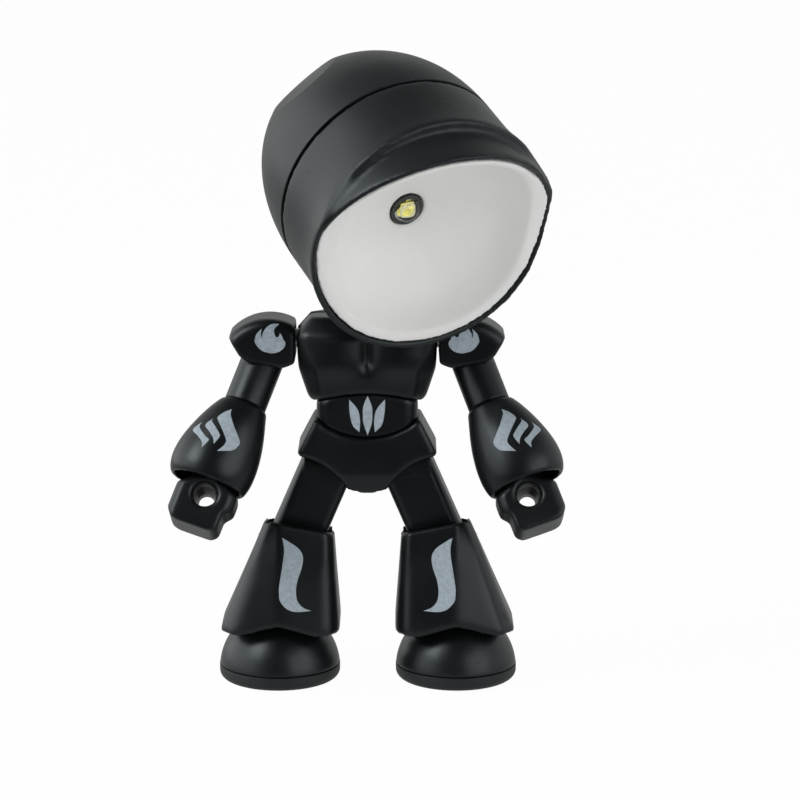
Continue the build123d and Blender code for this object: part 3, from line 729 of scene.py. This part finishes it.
class Carrier:
    """The triangles of a visible piece, for laying thin prints on it."""

    slack = 1e-6            # share by which a ray may pass outside a triangle
    least_slope = 1e-12     # a ray that meets a face at less runs along it

    def __init__(self, node: str) -> None:
        """Read the triangles of the node, or of its softened form, in millimetres.

        Args:
            node: The node's name.
        """
        mesh = SKINS.get(node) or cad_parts[node].data
        mesh.calc_loop_triangles()
        corners = np.zeros(len(mesh.loop_triangles) * 3, dtype=np.int64)
        mesh.loop_triangles.foreach_get("vertices", corners)
        self.triangles = mesh_points(mesh)[corners.reshape(-1, 3)]

    def nearby(self, points: np.ndarray, ray: np.ndarray) -> np.ndarray:
        """Triangles that rays from the points can meet.

        Seen along the ray, their middles lie in the square round the points, grown by the largest triangle.

        Args:
            points: Where the rays start, as rows.
            ray: Their direction.

        Returns:
            The triangles.
        """
        across = np.cross(ray, (0.0, 0.0, 1.0))
        view = np.stack([across / np.linalg.norm(across), np.cross(ray, across)], -1)
        spots, middles = points @ view, self.triangles.mean(1) @ view
        size = np.ptp(self.triangles @ view, axis=1).max()
        inside = (middles > spots.min(0) - size) & (middles < spots.max(0) + size)
        return self.triangles[inside.all(-1)]

    def drop(self, points: np.ndarray, ray: np.ndarray) -> np.ndarray:
        """Move points along a ray on to the node's nearest face.

        A ray p + t r meets a triangle a, a + e, a + f where t = f . q / d, with q = (p - a) x e,
        h = r x f and d = e . h, if u = (p - a) . h / d, v = r . q / d and 1 - u - v are all at least 0.

        Args:
            points: Points in front of the node, as rows.
            ray: Direction of travel.

        Returns:
            The points moved to the surface; one that misses takes the middle travel of the others.
        """
        triangles = self.nearby(points, ray)
        a = triangles[:, 0]
        e = triangles[:, 1] - a
        f = triangles[:, 2] - a
        h = np.cross(ray, f)
        d = (e * h).sum(-1)
        d = np.where(np.abs(d) < self.least_slope, np.inf, d)
        s = points[:, None, :] - a[None]
        u = (s * h).sum(-1) / d
        q = np.cross(s, e[None])
        v = (q @ ray) / d
        t = (q * f).sum(-1) / d
        inside = (u >= -self.slack) & (v >= -self.slack) & (u + v <= 1 + self.slack) & np.isfinite(d)
        travel = np.where(inside, t, np.inf).min(-1)
        missed = ~np.isfinite(travel)
        travel[missed] = np.median(travel[~missed])
        return points + travel[:, None] * ray


@dataclass
class Mark:
    """One printed ornament: patches between two side curves, laid on a node along a ray."""

    name: str
    node: str
    body: str
    anchor: Place
    ray: Place
    patches: Sequence[tuple[Sequence[Point], Sequence[Point]]]
    rows: int = 26
    cols: int = 9
    proud: float = 0.035        # how far its face stands out of the node's
    sunk: float = 0.03          # and how far its back lies under it
    start: float = 8.0          # how far in front of the anchor it is dropped from

    def build(self, side: int, material: bpy.types.Material) -> bpy.types.Object:
        """Lay the ornament on one side of the figure.

        Each patch is (1 - t) left(s) + t right(s), in a plane square to the ray, then dropped on the node.

        Args:
            side: -1 for the figure's right, where the curves are drawn, 1 for its left.
            material: The paint.

        Returns:
            The printed piece.
        """
        mirror = np.array([-side, 1.0, 1.0])
        ray = np.array(self.ray) / np.linalg.norm(self.ray)
        across = np.cross(ray, (0.0, 0.0, 1.0))
        across = across / np.linalg.norm(across)
        up = np.cross(across, ray)
        share = np.linspace(0, 1, self.cols)[None, :, None]
        carrier = Carrier(self.node)
        points, faces, total = [], [], 0
        for curves in self.patches:
            left, right = (spline(curve, self.rows)[:, None] for curve in curves)
            flat = (1 - share) * left + share * right
            space = np.array(self.anchor) - self.start * ray + flat[..., :1] * across + flat[..., 1:] * up
            skin = carrier.drop(space.reshape(-1, 3) * mirror, ray * mirror).reshape(space.shape)
            sheet, quads = closed_sheet(skin - self.proud * ray * mirror, skin + self.sunk * ray * mirror)
            points.append(sheet)
            faces.append(quads + total)
            total += len(sheet)
        surface = np.vstack(points), np.vstack(faces)
        return add_surface(self.name, *surface, material, Slot.PRINT, self.body)


# The object's sub-assemblies

def dress(nodes: Iterable[str], material: bpy.types.Material) -> None:
    """Give CAD nodes a material.

    Args:
        nodes: Their names.
        material: The finish.
    """
    for name in nodes:
        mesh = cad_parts[name].data
        mesh.materials.clear()
        mesh.materials.append(material)
        log.info("%s dressed in %s", name, material.name)


def both(*parts: str) -> list[str]:
    """Names of a part on the left and on the right."""
    return [f"{side}_{part}" for part in parts for side in ("left", "right")]


def turn(axis: int, degrees: float) -> np.ndarray:
    """Rotation matrix.

    Args:
        axis: 0, 1 or 2 for x, y or z.
        degrees: Angle, positive from the next axis towards the one after it.

    Returns:
        The matrix.
    """
    c, s = math.cos(math.radians(degrees)), math.sin(math.radians(degrees))
    matrix = np.eye(3)
    i, j = (axis + 1) % 3, (axis + 2) % 3
    matrix[i, i] = matrix[j, j] = c
    matrix[i, j], matrix[j, i] = -s, s
    return matrix


@dataclass
class LampHead:
    """The helmet-shaped head with its bowl, LED, battery and button.

    In its own frame the LED's axis is y, the mouth faces -y and z points to the crown.
    """

    turned: float = 28.0                # degrees about the upright, then tipped back, then leaned
    tipped: float = 27.3
    leaned: float = -5.0
    neck_in_head: Place = (0.0, 17.3, -14.2)
    neck_ball: Place = (0.0, 1.75 + FIGURE_BACK, 63.0)
    mouth_rise: float = 19.3            # height of the mouth's top over the LED's axis
    edge_sweep: float = 9.0             # how far its edge comes forward there
    edge_slope: float = 2.8
    rim_half: Point = (17.5, 17.3)      # half the width and height of the bowl's flange
    rim_middle: float = 0.3
    flange_lift: float = 0.53
    flange_grow: float = 0.45
    temple_angle: float = 24.0          # where the brow's step ends, and how far it is smoothed from there
    temple_spread: float = 20.0
    least_share: float = 0.17           # of the smoothing, away from the temples
    led_depth: float = 8.2
    frame_in: float = 0.68              # inner and outer radius of the emitter's frame
    frame_out: float = 0.93
    frame_thick: float = 0.07
    frame_lift: float = 0.01
    scallops: int = 4
    scallop_depth: float = 0.07         # as a share of the radius

    def attitude(self) -> np.ndarray:
        """Rotation from the head's own frame to the lamp's."""
        return turn(2, self.turned) @ turn(0, self.tipped) @ turn(1, self.leaned)

    def place(self, points: np.ndarray) -> np.ndarray:
        """Points from the head's own frame to the lamp's: turned, then hung from the neck ball."""
        return (points - np.array(self.neck_in_head)) @ self.attitude().T + np.array(self.neck_ball)

    def inside(self, points: np.ndarray) -> np.ndarray:
        """Points from the lamp's frame to the head's own."""
        return (points - np.array(self.neck_ball)) @ self.attitude() + np.array(self.neck_in_head)

    def behind_edge(self, points: np.ndarray) -> np.ndarray:
        """How far points in the head's frame lie behind the mouth's edge.

        The edge lies at y = slope s - sweep s^1.5, with s the height as a share of the mouth's rise, and
        without the sweep below the LED's axis.
        """
        share = points[:, 2] / self.mouth_rise
        return points[:, 1] + self.edge_sweep * np.clip(share, 0, None) ** 1.5 - self.edge_slope * share

    def wide_flange(self, points: np.ndarray) -> np.ndarray:
        """The bowl with its flange brought flush with the shell's lip and grown over part of it.

        Points near the edge move forward by flange_lift, and those on the rim outwards by flange_grow.

        Args:
            points: The bowl's points.

        Returns:
            The moved points.
        """
        held = self.inside(points)
        behind = self.behind_edge(held)
        radius = np.hypot(held[:, 0], held[:, 2])
        wide, high = self.rim_half
        rim = np.hypot(held[:, 0] / wide, (held[:, 2] - self.rim_middle) / high)
        outer = ramp(rim, 0.95, 0.03) * ramp(behind, 3.0, -0.5)
        held[:, 1] -= self.flange_lift * ramp(behind, 4.0, -3.3)
        held[:, [0, 2]] *= 1 + (self.flange_grow * outer / radius.clip(1))[:, None]
        return self.place(held)

    def temples(self, points: np.ndarray) -> np.ndarray:
        """How much of the smoothing the front shell's points take.

        It is least_share all over, rising to 1 behind the mouth's edge where the angle over the level is
        temple_angle, with the square root of the nearness to that angle.

        Args:
            points: The shell's points.

        Returns:
            The share of each.
        """
        held = self.inside(points)
        behind = self.behind_edge(held)
        angle = np.degrees(np.arctan2(held[:, 2], np.abs(held[:, 0])))
        near = np.clip(1 - np.abs(angle - self.temple_angle) / self.temple_spread, 0, 1) ** 0.5
        step = near * ramp(behind, 1.6, 1.5) * ramp(behind, 11, -3)
        return self.least_share + (1 - self.least_share) * step

    def led_frame(self) -> tuple[np.ndarray, np.ndarray]:
        """Pale scalloped frame round the emitter.

        At angle a it reaches from frame_in to frame_out (1 - depth cos 4a), with a half-round section.

        Returns:
            Its points and faces.
        """
        angle = np.linspace(0, 2 * math.pi, 72, endpoint=False)[None, :]
        share = np.linspace(0, 1, 7)[:, None]
        reach = self.frame_out * (1 + self.scallop_depth * np.cos(self.scallops * angle + math.pi))
        radius = self.frame_in + (reach - self.frame_in) * share
        rise = self.frame_thick * np.sqrt(np.clip(1 - (2 * share - 1) ** 2, 0, 1)) + 0 * angle
        seat = self.led_depth - self.frame_lift
        layers = [np.stack([radius * np.cos(angle), seat - height, radius * np.sin(angle)], -1)
                  for height in (rise, 0 * rise)]
        faces = grid_faces(*radius.shape, wrap=True)
        points = np.vstack([layer.reshape(-1, 3) for layer in layers])
        return self.place(points), np.vstack([faces, faces[:, ::-1] + radius.size])

    def build(self) -> None:
        """Dress the head's nodes, the neck and the pegs, and add the LED's frame."""
        led = tuple(self.place(np.array([[0.0, self.led_depth, 0.0]]))[0])
        shell = Plastic("head_charcoal", (0.0100, 0.0112, 0.0120), gloss=0.43, cloud=0.10, grain=0.010,
                        edge=0.30, dust=(0.16, 0.17, 0.17), dust_share=0.25).make()
        dress(["head_rear_shell", "battery_door"], shell)
        Skin("head_front_shell", "head", 0.28, 110, share=self.temples).build(shell, Slot.HEAD)
        bowl = WhiteBowl("bowl_white", (0.86, 0.86, 0.85), led).make()
        Skin("reflector", "head", 0.28, 10, self.wide_flange).build(bowl, Slot.BOWL)
        for nodes, finish in (
            (["led_holder"], Plastic("led_body", (0.050, 0.055, 0.046), roughness=0.3, edge=0.12)),
            # the chip is brightened by a painted glow
            (["led_chip"], Phosphor("phosphor_yellow", (0.74, 0.68, 0.19), glow=0.9)),
            (["led_lens"], ClearDome("clear_dome")),
            (["led_board"], SolderMask("board_green", (0.02, 0.10, 0.035))),
            (["battery_tray", "switch_bracket"],
             Plastic("inner_black", (0.030, 0.030, 0.032), roughness=0.55, edge=0.15)),
            (["button_cells"], Metal("cell_can", (0.62, 0.61, 0.58))),
            (["battery_contacts"], Metal("contact_plate", (0.66, 0.58, 0.36), roughness=0.28)),
            (["battery_door_screw"], Metal("black_screw", (0.16, 0.16, 0.17), roughness=0.4)),
            (["power_button"], Plastic("button_black", (0.022, 0.023, 0.024), roughness=0.34, edge=0.25)),
            (["power_switch"], Plastic("switch_black", (0.018, 0.018, 0.018), roughness=0.3, edge=0.1)),
            (["neck_cup", "neck_ball_stem"] + both("elbow_peg", "wrist_peg"),
             Plastic("peg_black", (0.016, 0.016, 0.017), roughness=0.38, edge=0.2)),
            (["neck_bush"], Plastic("bush_natural", (0.60, 0.58, 0.50), roughness=0.5, gloss=0.4, edge=0.15,
                                    rub=1.05, dust=(0.3, 0.28, 0.24))),
        ):
            dress(nodes, finish.make())
        # the frame is brightened by a painted glow as well
        cream = Phosphor("frame_cream", (0.80, 0.78, 0.50)).make()
        add_surface("led_frame", *self.led_frame(), cream, Slot.PHOSPHOR, "head")


@dataclass
class Figure:
    """Torso and limbs in near-black plastic, with their pale prints."""

    body_colour: Colour = (0.0044, 0.0048, 0.0056)
    print_colour: Colour = (0.37, 0.435, 0.485)
    print_thin: float = 2.6                 # how much lighter than the body it is in its pinholes
    waist_front: float = -4.7 + FIGURE_BACK
    waist_middle: float = 40.3
    pin_reach: float = 15.2                 # from the middle to the ends of the knee pins
    shin_middle: float = 11.6
    cuff: float = 19.5                      # height above which a shin is hardly smoothed
    cuff_share: float = 0.12
    grip_spot: Place = (23.180, -2.212, 29.254)
    grip_line: Place = (0.0000, -0.8829, 0.4695)
    grip_reach: float = 3.0                 # how far from its line the hole's change is felt
    grip_narrow: float = 0.30               # share taken off the hole at the back
    grip_widen: float = 0.12                # and put on in front
    chest_middle: Point = (4.8, 50.2)       # x and z of the middle of a chest half
    chest_size: float = 3.9
    chest_full: float = 1.0                 # how far a half stands out there
    groove_depth: float = 0.5
    groove_width: float = 1.1
    chest_share_least: float = 0.35

    def plastic(self) -> bpy.types.Material:
        """Satin near-black of torso, limbs and feet."""
        return Plastic("body_black", self.body_colour, roughness=0.35, gloss=0.43, cloud=0.14,
                       grain=0.010, edge=0.45, rub=2.6, dust=(0.22, 0.22, 0.22), dust_share=0.3).make()

    def skins(self) -> list[Skin]:
        """The pieces whose moulded corners are round.

        Returns:
            Their softened forms.
        """
        skins = [Skin("chest_front", "torso", rounds=70, form=self.chest, share=self.chest_share),
                 Skin("abdomen", "torso", rounds=10),
                 Skin("pelvis", "torso", rounds=16)]
        for side in ("left", "right"):
            core = SIDES[side] * self.shin_middle, FIGURE_BACK
            skins += [Skin(f"{side}_shoulder_pad", f"{side}_arm"),
                      Skin(f"{side}_forearm", f"{side}_lower_arm", rounds=5),
                      Skin(f"{side}_hand", f"{side}_fist", 0.16, 24, self.grip),
                      Skin(f"{side}_shin", f"{side}_lower_leg", 0.25, 45, share=self.shin_share, core=core)]
        return skins

    def short_pin(self, points: np.ndarray) -> np.ndarray:
        """Knee pin that ends just inside the shin's sloping outer wall."""
        reach = np.array([self.pin_reach, np.inf, np.inf])
        return np.clip(points, -reach, reach)

    def grip(self, points: np.ndarray) -> np.ndarray:
        """Fist whose hole is a little wider in front and narrows to the back.

        A point near the hole's line moves towards it by a share of its distance, up to grip_narrow at the
        back, or away from it by up to grip_widen in front.

        Args:
            points: The fist's points.

        Returns:
            The moved points.
        """
        mirror = np.array([np.sign(points[:, 0].mean()), 1.0, 1.0])
        line = np.array(self.grip_line) / np.linalg.norm(self.grip_line)
        away = points * mirror - np.array(self.grip_spot)
        along = away @ line
        across = away - along[:, None] * line
        near = ramp(np.linalg.norm(across, axis=1), self.grip_reach, -1.2)
        narrow = self.grip_narrow * ramp(along, 1.25, -2.5) - self.grip_widen * ramp(along, 1.5, 1.5)
        return (points * mirror - across * (narrow * near)[:, None]) * mirror

    def shin_share(self, points: np.ndarray) -> np.ndarray:
        """Where a shin is smoothed: fully below, little at the cuff, whose wall covers the knee pin."""
        return self.cuff_share + (1 - self.cuff_share) * ramp(points[:, 2], self.cuff, -3.0)

    def chest(self, points: np.ndarray) -> np.ndarray:
        """Chest with two full halves and a soft groove between them.

        A half stands out by full e^-(u^2 + |v|^3), with u and v the distances across and up from its middle
        as shares of its size, and the groove goes in by depth e^-(x / width)^2.

        Args:
            points: The chest's points.

        Returns:
            The moved points.
        """
        x, y, z = points.T
        middle_x, middle_z = self.chest_middle
        across, up = (np.abs(x) - middle_x) / self.chest_size, (z - middle_z) / self.chest_size
        full = self.chest_full * np.exp(-across ** 2 - np.abs(up) ** 3)
        groove = self.groove_depth * np.exp(-(x / self.groove_width) ** 2) * ramp(z, 46.0, 2.0)
        moved = points.copy()
        moved[:, 1] -= (full - groove) * ramp(y, FIGURE_BACK - 2.0, -2.0)
        return moved

    def chest_share(self, points: np.ndarray) -> np.ndarray:
        """Where the chest is smoothed: fully over the middle of its front, less elsewhere.

        Args:
            points: The chest's points.

        Returns:
            The share of each.
        """
        x, y, z = points.T
        middle = ramp(np.abs(x), 3.0, -1.0) * ramp(y, FIGURE_BACK - 4.0, -1.0) * ramp(z, 45.0, 1.0)
        return self.chest_share_least + (1 - self.chest_share_least) * middle

    def marks(self) -> list[Mark]:
        """Draw the limbs' ornaments as they are on the right.

        Returns:
            The ornaments, with names, nodes and bodies that lack their side.
        """
        flame = Mark(
            "flame_print", "shoulder_pad", "arm", (-14.013, 3.75, 51.21), (-0.0424, 0.9842, -0.172),
            [
                ([(0.13, -1.662), (-1.112, -1.301), (-1.935, -0.493), (-2.223, 0.33), (-1.256, 0.606),
                  (-1.112, 1.155), (-0.578, 2.022), (0.3, 2.6), (1.372, 2.617)],
                 [(0.13, -1.662), (0.95, -1.56), (1.517, -1.3), (2.05, -0.8), (2.21, -0.215), (1.921, 0.334),
                  (0.968, 0.608), (0.621, 1.301), (0.679, 1.922), (1.372, 2.617)]),
                ([(-2.223, 0.33), (-1.935, 1.169), (-1.184, 1.921)],
                 [(-1.256, 0.606), (-1.32, 1.2), (-1.184, 1.921)]),
                ([(0.968, 0.608), (1.3, 0.85), (1.444, 1.302)],
                 [(1.921, 0.334), (1.75, 0.8), (1.444, 1.302)]),
            ])
        arm = ("forearm", "lower_arm")
        large = Mark(
            "slash_print_large", *arm, (-19.447, -2.283, 39.462), (-0.0551, 0.9782, -0.2001),
            [([(0.165, 3.004), (-0.9, 2.62), (-1.82, 1.976), (-1.889, 1.564), (-1.3, 0.2), (-0.862, -0.905),
               (-0.725, -1.59), (-1.1, -2.2), (-2.025, -2.96)],
              [(0.165, 3.004), (-0.04, 2.387), (0.15, 1.5), (0.37, 0.74), (0.85, -0.5), (1.261, -1.729),
               (0.918, -2.414), (0.097, -2.93), (-2.025, -2.96)])])
        middle = Mark(
            "slash_print_middle", *arm, (-21.877, -2.39, 39.484), (-0.0607, 0.9779, -0.2001),
            [([(-0.1, 1.7), (-1.236, 0.741), (-0.6, -0.3), (-0.141, -1.179), (-0.073, -2.002)],
              [(-0.1, 1.7), (-0.278, 1.289), (0.2, 0.5), (0.612, -0.22), (0.817, -0.906), (-0.073, -2.002)])])
        small = Mark(
            "slash_print_small", *arm, (-23.767, -2.034, 39.118), (-0.0649, 0.9775, -0.2006),
            [([(0.172, 1.44), (-1.156, 0.411), (-0.5, -0.5), (0.076, -1.305), (0.076, -2.197)],
              [(0.172, 1.44), (-0.198, 0.822), (0.145, 0.067), (0.65, -0.6), (1.076, -1.169),
               (0.076, -2.197)])])
        blade = Mark(
            "blade_print", "shin", "lower_leg", (-10.981, 1.376, 17.122), (-0.0352, 0.9685, -0.2464),
            [([(-1.414, 5.429), (-1.227, 4.499), (-1.134, 3.337), (-1.413, 1.248), (-1.877, -1.536),
               (-1.923, -2.696), (-1.76, -3.856), (-0.715, -5.018), (0.678, -5.415), (2.768, -5.258)],
              [(-1.414, 5.429), (-0.251, 4.73), (1.028, 3.798), (1.609, 2.635), (1.422, 1.01),
               (0.795, -0.846), (0.562, -2.47), (0.794, -3.862), (1.607, -4.791), (2.768, -5.258)])],
            rows=44, cols=11)
        return [flame, large, middle, small, blade]

    def waist_marks(self) -> list[Mark]:
        """Draw the waist's lens-shaped prints.

        Returns:
            The middle one, and the right outer one, which leans outwards at the top.
        """
        ahead = (0.0, 1.0, 0.0)
        middle = [([(0.07, 3.0), (-0.55, 1.4), (-0.62, 0.0), (-0.5, -1.2), (0.07, -2.9)],
                   [(0.07, 3.0), (0.69, 1.4), (0.76, 0.0), (0.64, -1.2), (0.07, -2.9)])]
        outer = [([(-2.60, 2.42), (-2.56, 0.7), (-2.12, -1.35), (-1.12, -2.42)],
                  [(-2.60, 2.42), (-1.75, 1.5), (-1.22, 0.55), (-1.02, -0.9), (-1.12, -2.42)])]
        spot = (0.0, self.waist_front, self.waist_middle)
        return [Mark("waist_print_middle", "abdomen", "torso", spot, ahead, middle),
                Mark("waist_print_outer", "abdomen", "torso", spot, ahead, outer)]

    def build(self) -> None:
        """Dress torso and limbs and lay the prints."""
        plastic = self.plastic()
        dress(["chest_back"], plastic)
        dress(both("upper_arm", "thigh", "foot"), plastic)
        for skin in self.skins():
            skin.build(plastic, Slot.BODY)
        sole = Plastic("sole_black", (0.012, 0.0125, 0.013), roughness=0.5, gloss=0.4, edge=0.3).make()
        dress(both("sole"), sole)
        steel = Metal("pin_steel", (0.48, 0.48, 0.49), roughness=0.34).make()
        dress(["hip_axle"] + both("shoulder_pin", "ankle_pin"), steel)
        black = Metal("black_pin", (0.030, 0.031, 0.033), roughness=0.42).make()
        for side in ("left", "right"):
            Skin(f"{side}_knee_pin", f"{side}_upper_leg", 0.0, 0, self.short_pin).build(black, Slot.PIN)
        dress(["chest_screws"], Metal("screw_steel", (0.20, 0.20, 0.21), roughness=0.36).make())
        paint = PadPrint("print_paint", self.print_colour, shade(self.body_colour, self.print_thin)).make()
        for mark in self.marks():
            for side, sign in SIDES.items():
                names = {key: f"{side}_{getattr(mark, key)}" for key in ("name", "node", "body")}
                replace(mark, **names).build(sign, paint)
        middle, outer = self.waist_marks()
        middle.build(-1, paint)
        for side, sign in SIDES.items():
            replace(outer, name=f"waist_print_{side}").build(sign, paint)


# Studio

@dataclass
class Softbox:
    """Square soft lamp aimed at the figure's middle, with its sizes in metres."""

    name: str
    place: Place
    size: float
    watts: float
    aim: Place = (0.0, 0.0, 0.05)

    def build(self) -> None:
        """Add the lamp."""
        light = bpy.data.lights.new(self.name, "AREA")
        light.shape = "SQUARE"
        light.size = self.size
        light.energy = self.watts
        made = add_object(self.name, light)
        away = np.array(self.place) - np.array(self.aim)
        flat = math.hypot(away[0], away[1])
        made.location = self.place
        made.rotation_euler = (math.atan2(flat, away[2]), 0.0, math.atan2(away[0], -away[1]))
        log.info("%s: %.1f W", self.name, self.watts)


@dataclass
class Studio:
    """White floor and surroundings, soft lamps and the camera."""

    down: float = 11.0                      # degrees that the camera looks down
    distance: float = 456.75
    aim_x: float = 4.776
    aim_up: float = 40.97
    focal: float = 137.7
    sensor: float = 36.0
    tent: float = 0.55                      # brightness of the surroundings
    front: float = 0.055                    # and of their dim part behind the camera
    front_edge: Point = (-0.10, 0.50)       # the edges are parts of a direction along one axis
    ceiling_edge: Point = (0.45, 0.90)
    ceiling_dim: float = 0.8                # share of the tent's light that is missing overhead
    wall_edge: Point = (0.45, 0.90)
    left_wall: float = 1.5
    right_wall: float = 0.28
    floor_white: float = 0.975              # share of plain white in the floor that the camera sees
    floor_grey: Colour = (0.86, 0.86, 0.86)
    floor_pale: Colour = (0.90, 0.90, 0.90)
    floor_reach: float = 4000.0
    floor_hole: float = 0.5
    floor_drop: float = 0.02
    rings: int = 24
    spokes: int = 64
    paper: float = 0.45                     # what reflections see of the floor beside and behind the figure
    paper_front: Point = (-0.10, -0.03)     # metres along y between which it fades out
    lamps: Sequence[Softbox] = field(default_factory=lambda: (
        Softbox("key_left", (-0.55, -0.30, 0.60), 0.40, 3.0),
        Softbox("fill_right", (0.65, -0.60, 0.30), 0.80, 3.6),
    ))

    def camera(self) -> None:
        """Add the camera, which looks down on the figure's front."""
        angle = math.radians(self.down)
        up = np.array([0.0, math.sin(angle), math.cos(angle)])
        ahead = np.array([0.0, math.cos(angle), -math.sin(angle)])
        spot = np.array([self.aim_x, FIGURE_BACK, 0.0]) + up * self.aim_up - ahead * self.distance
        lens = bpy.data.cameras.new("camera")
        lens.lens = self.focal
        lens.sensor_width = self.sensor
        lens.clip_start = 0.01
        lens.clip_end = 20.0
        made = add_object("camera", lens)
        made.location = spot * MM
        made.rotation_euler = (math.radians(90 - self.down), 0.0, 0.0)
        bpy.context.scene.camera = made

    def paper_finish(self) -> bpy.types.Material:
        """Paper that is white to the camera but for its shadows, and greyer in reflections.

        Returns:
            The floor's material.
        """
        r = Recipe(bpy.data.materials.new("floor_white"))
        path = r.node("ShaderNodeLightPath", {}, {})
        mirrored = Signal(r, path.outputs["Is Glossy Ray"]) + Signal(r, path.outputs["Is Transmission Ray"])
        near = r.along(1).step(*self.paper_front)
        seen = Signal(r, path.outputs["Is Camera Ray"])
        fibre = r.blend(r.noise(40.0, 2.0), self.floor_grey, self.floor_pale)
        cover = r.out("ShaderNodeBsdfDiffuse", {}, {"Color": fibre})
        glow = r.out("ShaderNodeEmission", {}, {"Color": WHITE, "Strength": 1.0})
        paper = r.out("ShaderNodeMixShader", {}, {0: seen * self.floor_white, 1: cover, 2: glow})
        reflected = {"Color": WHITE, "Strength": self.front + near * self.paper}
        sheet = r.out("ShaderNodeEmission", {}, reflected)
        mixed = r.out("ShaderNodeMixShader", {}, {0: mirrored, 1: paper, 2: sheet})
        r.node("ShaderNodeOutputMaterial", {}, {"Surface": mixed})
        return r.owner

    def floor(self) -> None:
        """Round floor under the figure.

        A point at share s and angle a lies at radius reach s^2 beyond the small hole, which one face fills.
        """
        share = np.linspace(0.0, 1.0, self.rings)[:, None]
        angle = np.linspace(0, 2 * math.pi, self.spokes, endpoint=False)[None, :]
        radius = self.floor_reach * share ** 2 + self.floor_hole + 0 * angle
        level = np.full_like(radius, -self.floor_drop)
        points = np.stack([radius * np.cos(angle), radius * np.sin(angle), level], -1).reshape(-1, 3)
        faces = grid_faces(self.rings, self.spokes, wrap=True)[:, ::-1].tolist()
        mesh = bpy.data.meshes.new("floor")
        mesh.from_pydata((points * MM).tolist(), [], faces + [list(range(self.spokes))])
        mesh.materials.append(self.paper_finish())
        add_object("floor", mesh)

    def world(self) -> None:
        """Surroundings: white to the camera, and otherwise a tent with bright sides and a dim front."""
        world = bpy.data.worlds.new("studio")
        r = Recipe(world, "Generated")
        sideways, ahead = r.along(0), r.along(1)
        open_front = (0 - ahead).step(*self.front_edge)
        level = self.tent * (1 - open_front) + self.front * open_front
        level = level * (1 - r.along(2).step(*self.ceiling_edge) * self.ceiling_dim)
        level = level + (0 - sideways).step(*self.wall_edge) * self.left_wall
        level = level + sideways.step(*self.wall_edge) * self.right_wall
        seen = r.out("ShaderNodeLightPath", {}, {}, "Is Camera Ray")
        shown = seen + (1 - seen) * level
        glow = r.out("ShaderNodeBackground", {}, {"Color": WHITE, "Strength": shown})
        r.node("ShaderNodeOutputWorld", {}, {"Surface": glow})
        bpy.context.scene.world = world

    def build(self) -> None:
        """Set up floor, surroundings, lamps, camera and the plain view transform."""
        self.floor()
        self.world()
        for lamp in self.lamps:
            lamp.build()
        self.camera()
        bpy.context.scene.view_settings.view_transform = "Standard"


def main() -> None:
    """Build every sub-assembly in order."""
    logging.basicConfig(level=logging.INFO, format="%(name)s: %(message)s")
    for part in (LampHead(), Figure(), Studio()):
        part.build()
        log.info("%s is done", type(part).__name__)


if __name__ == "__main__":
    main()
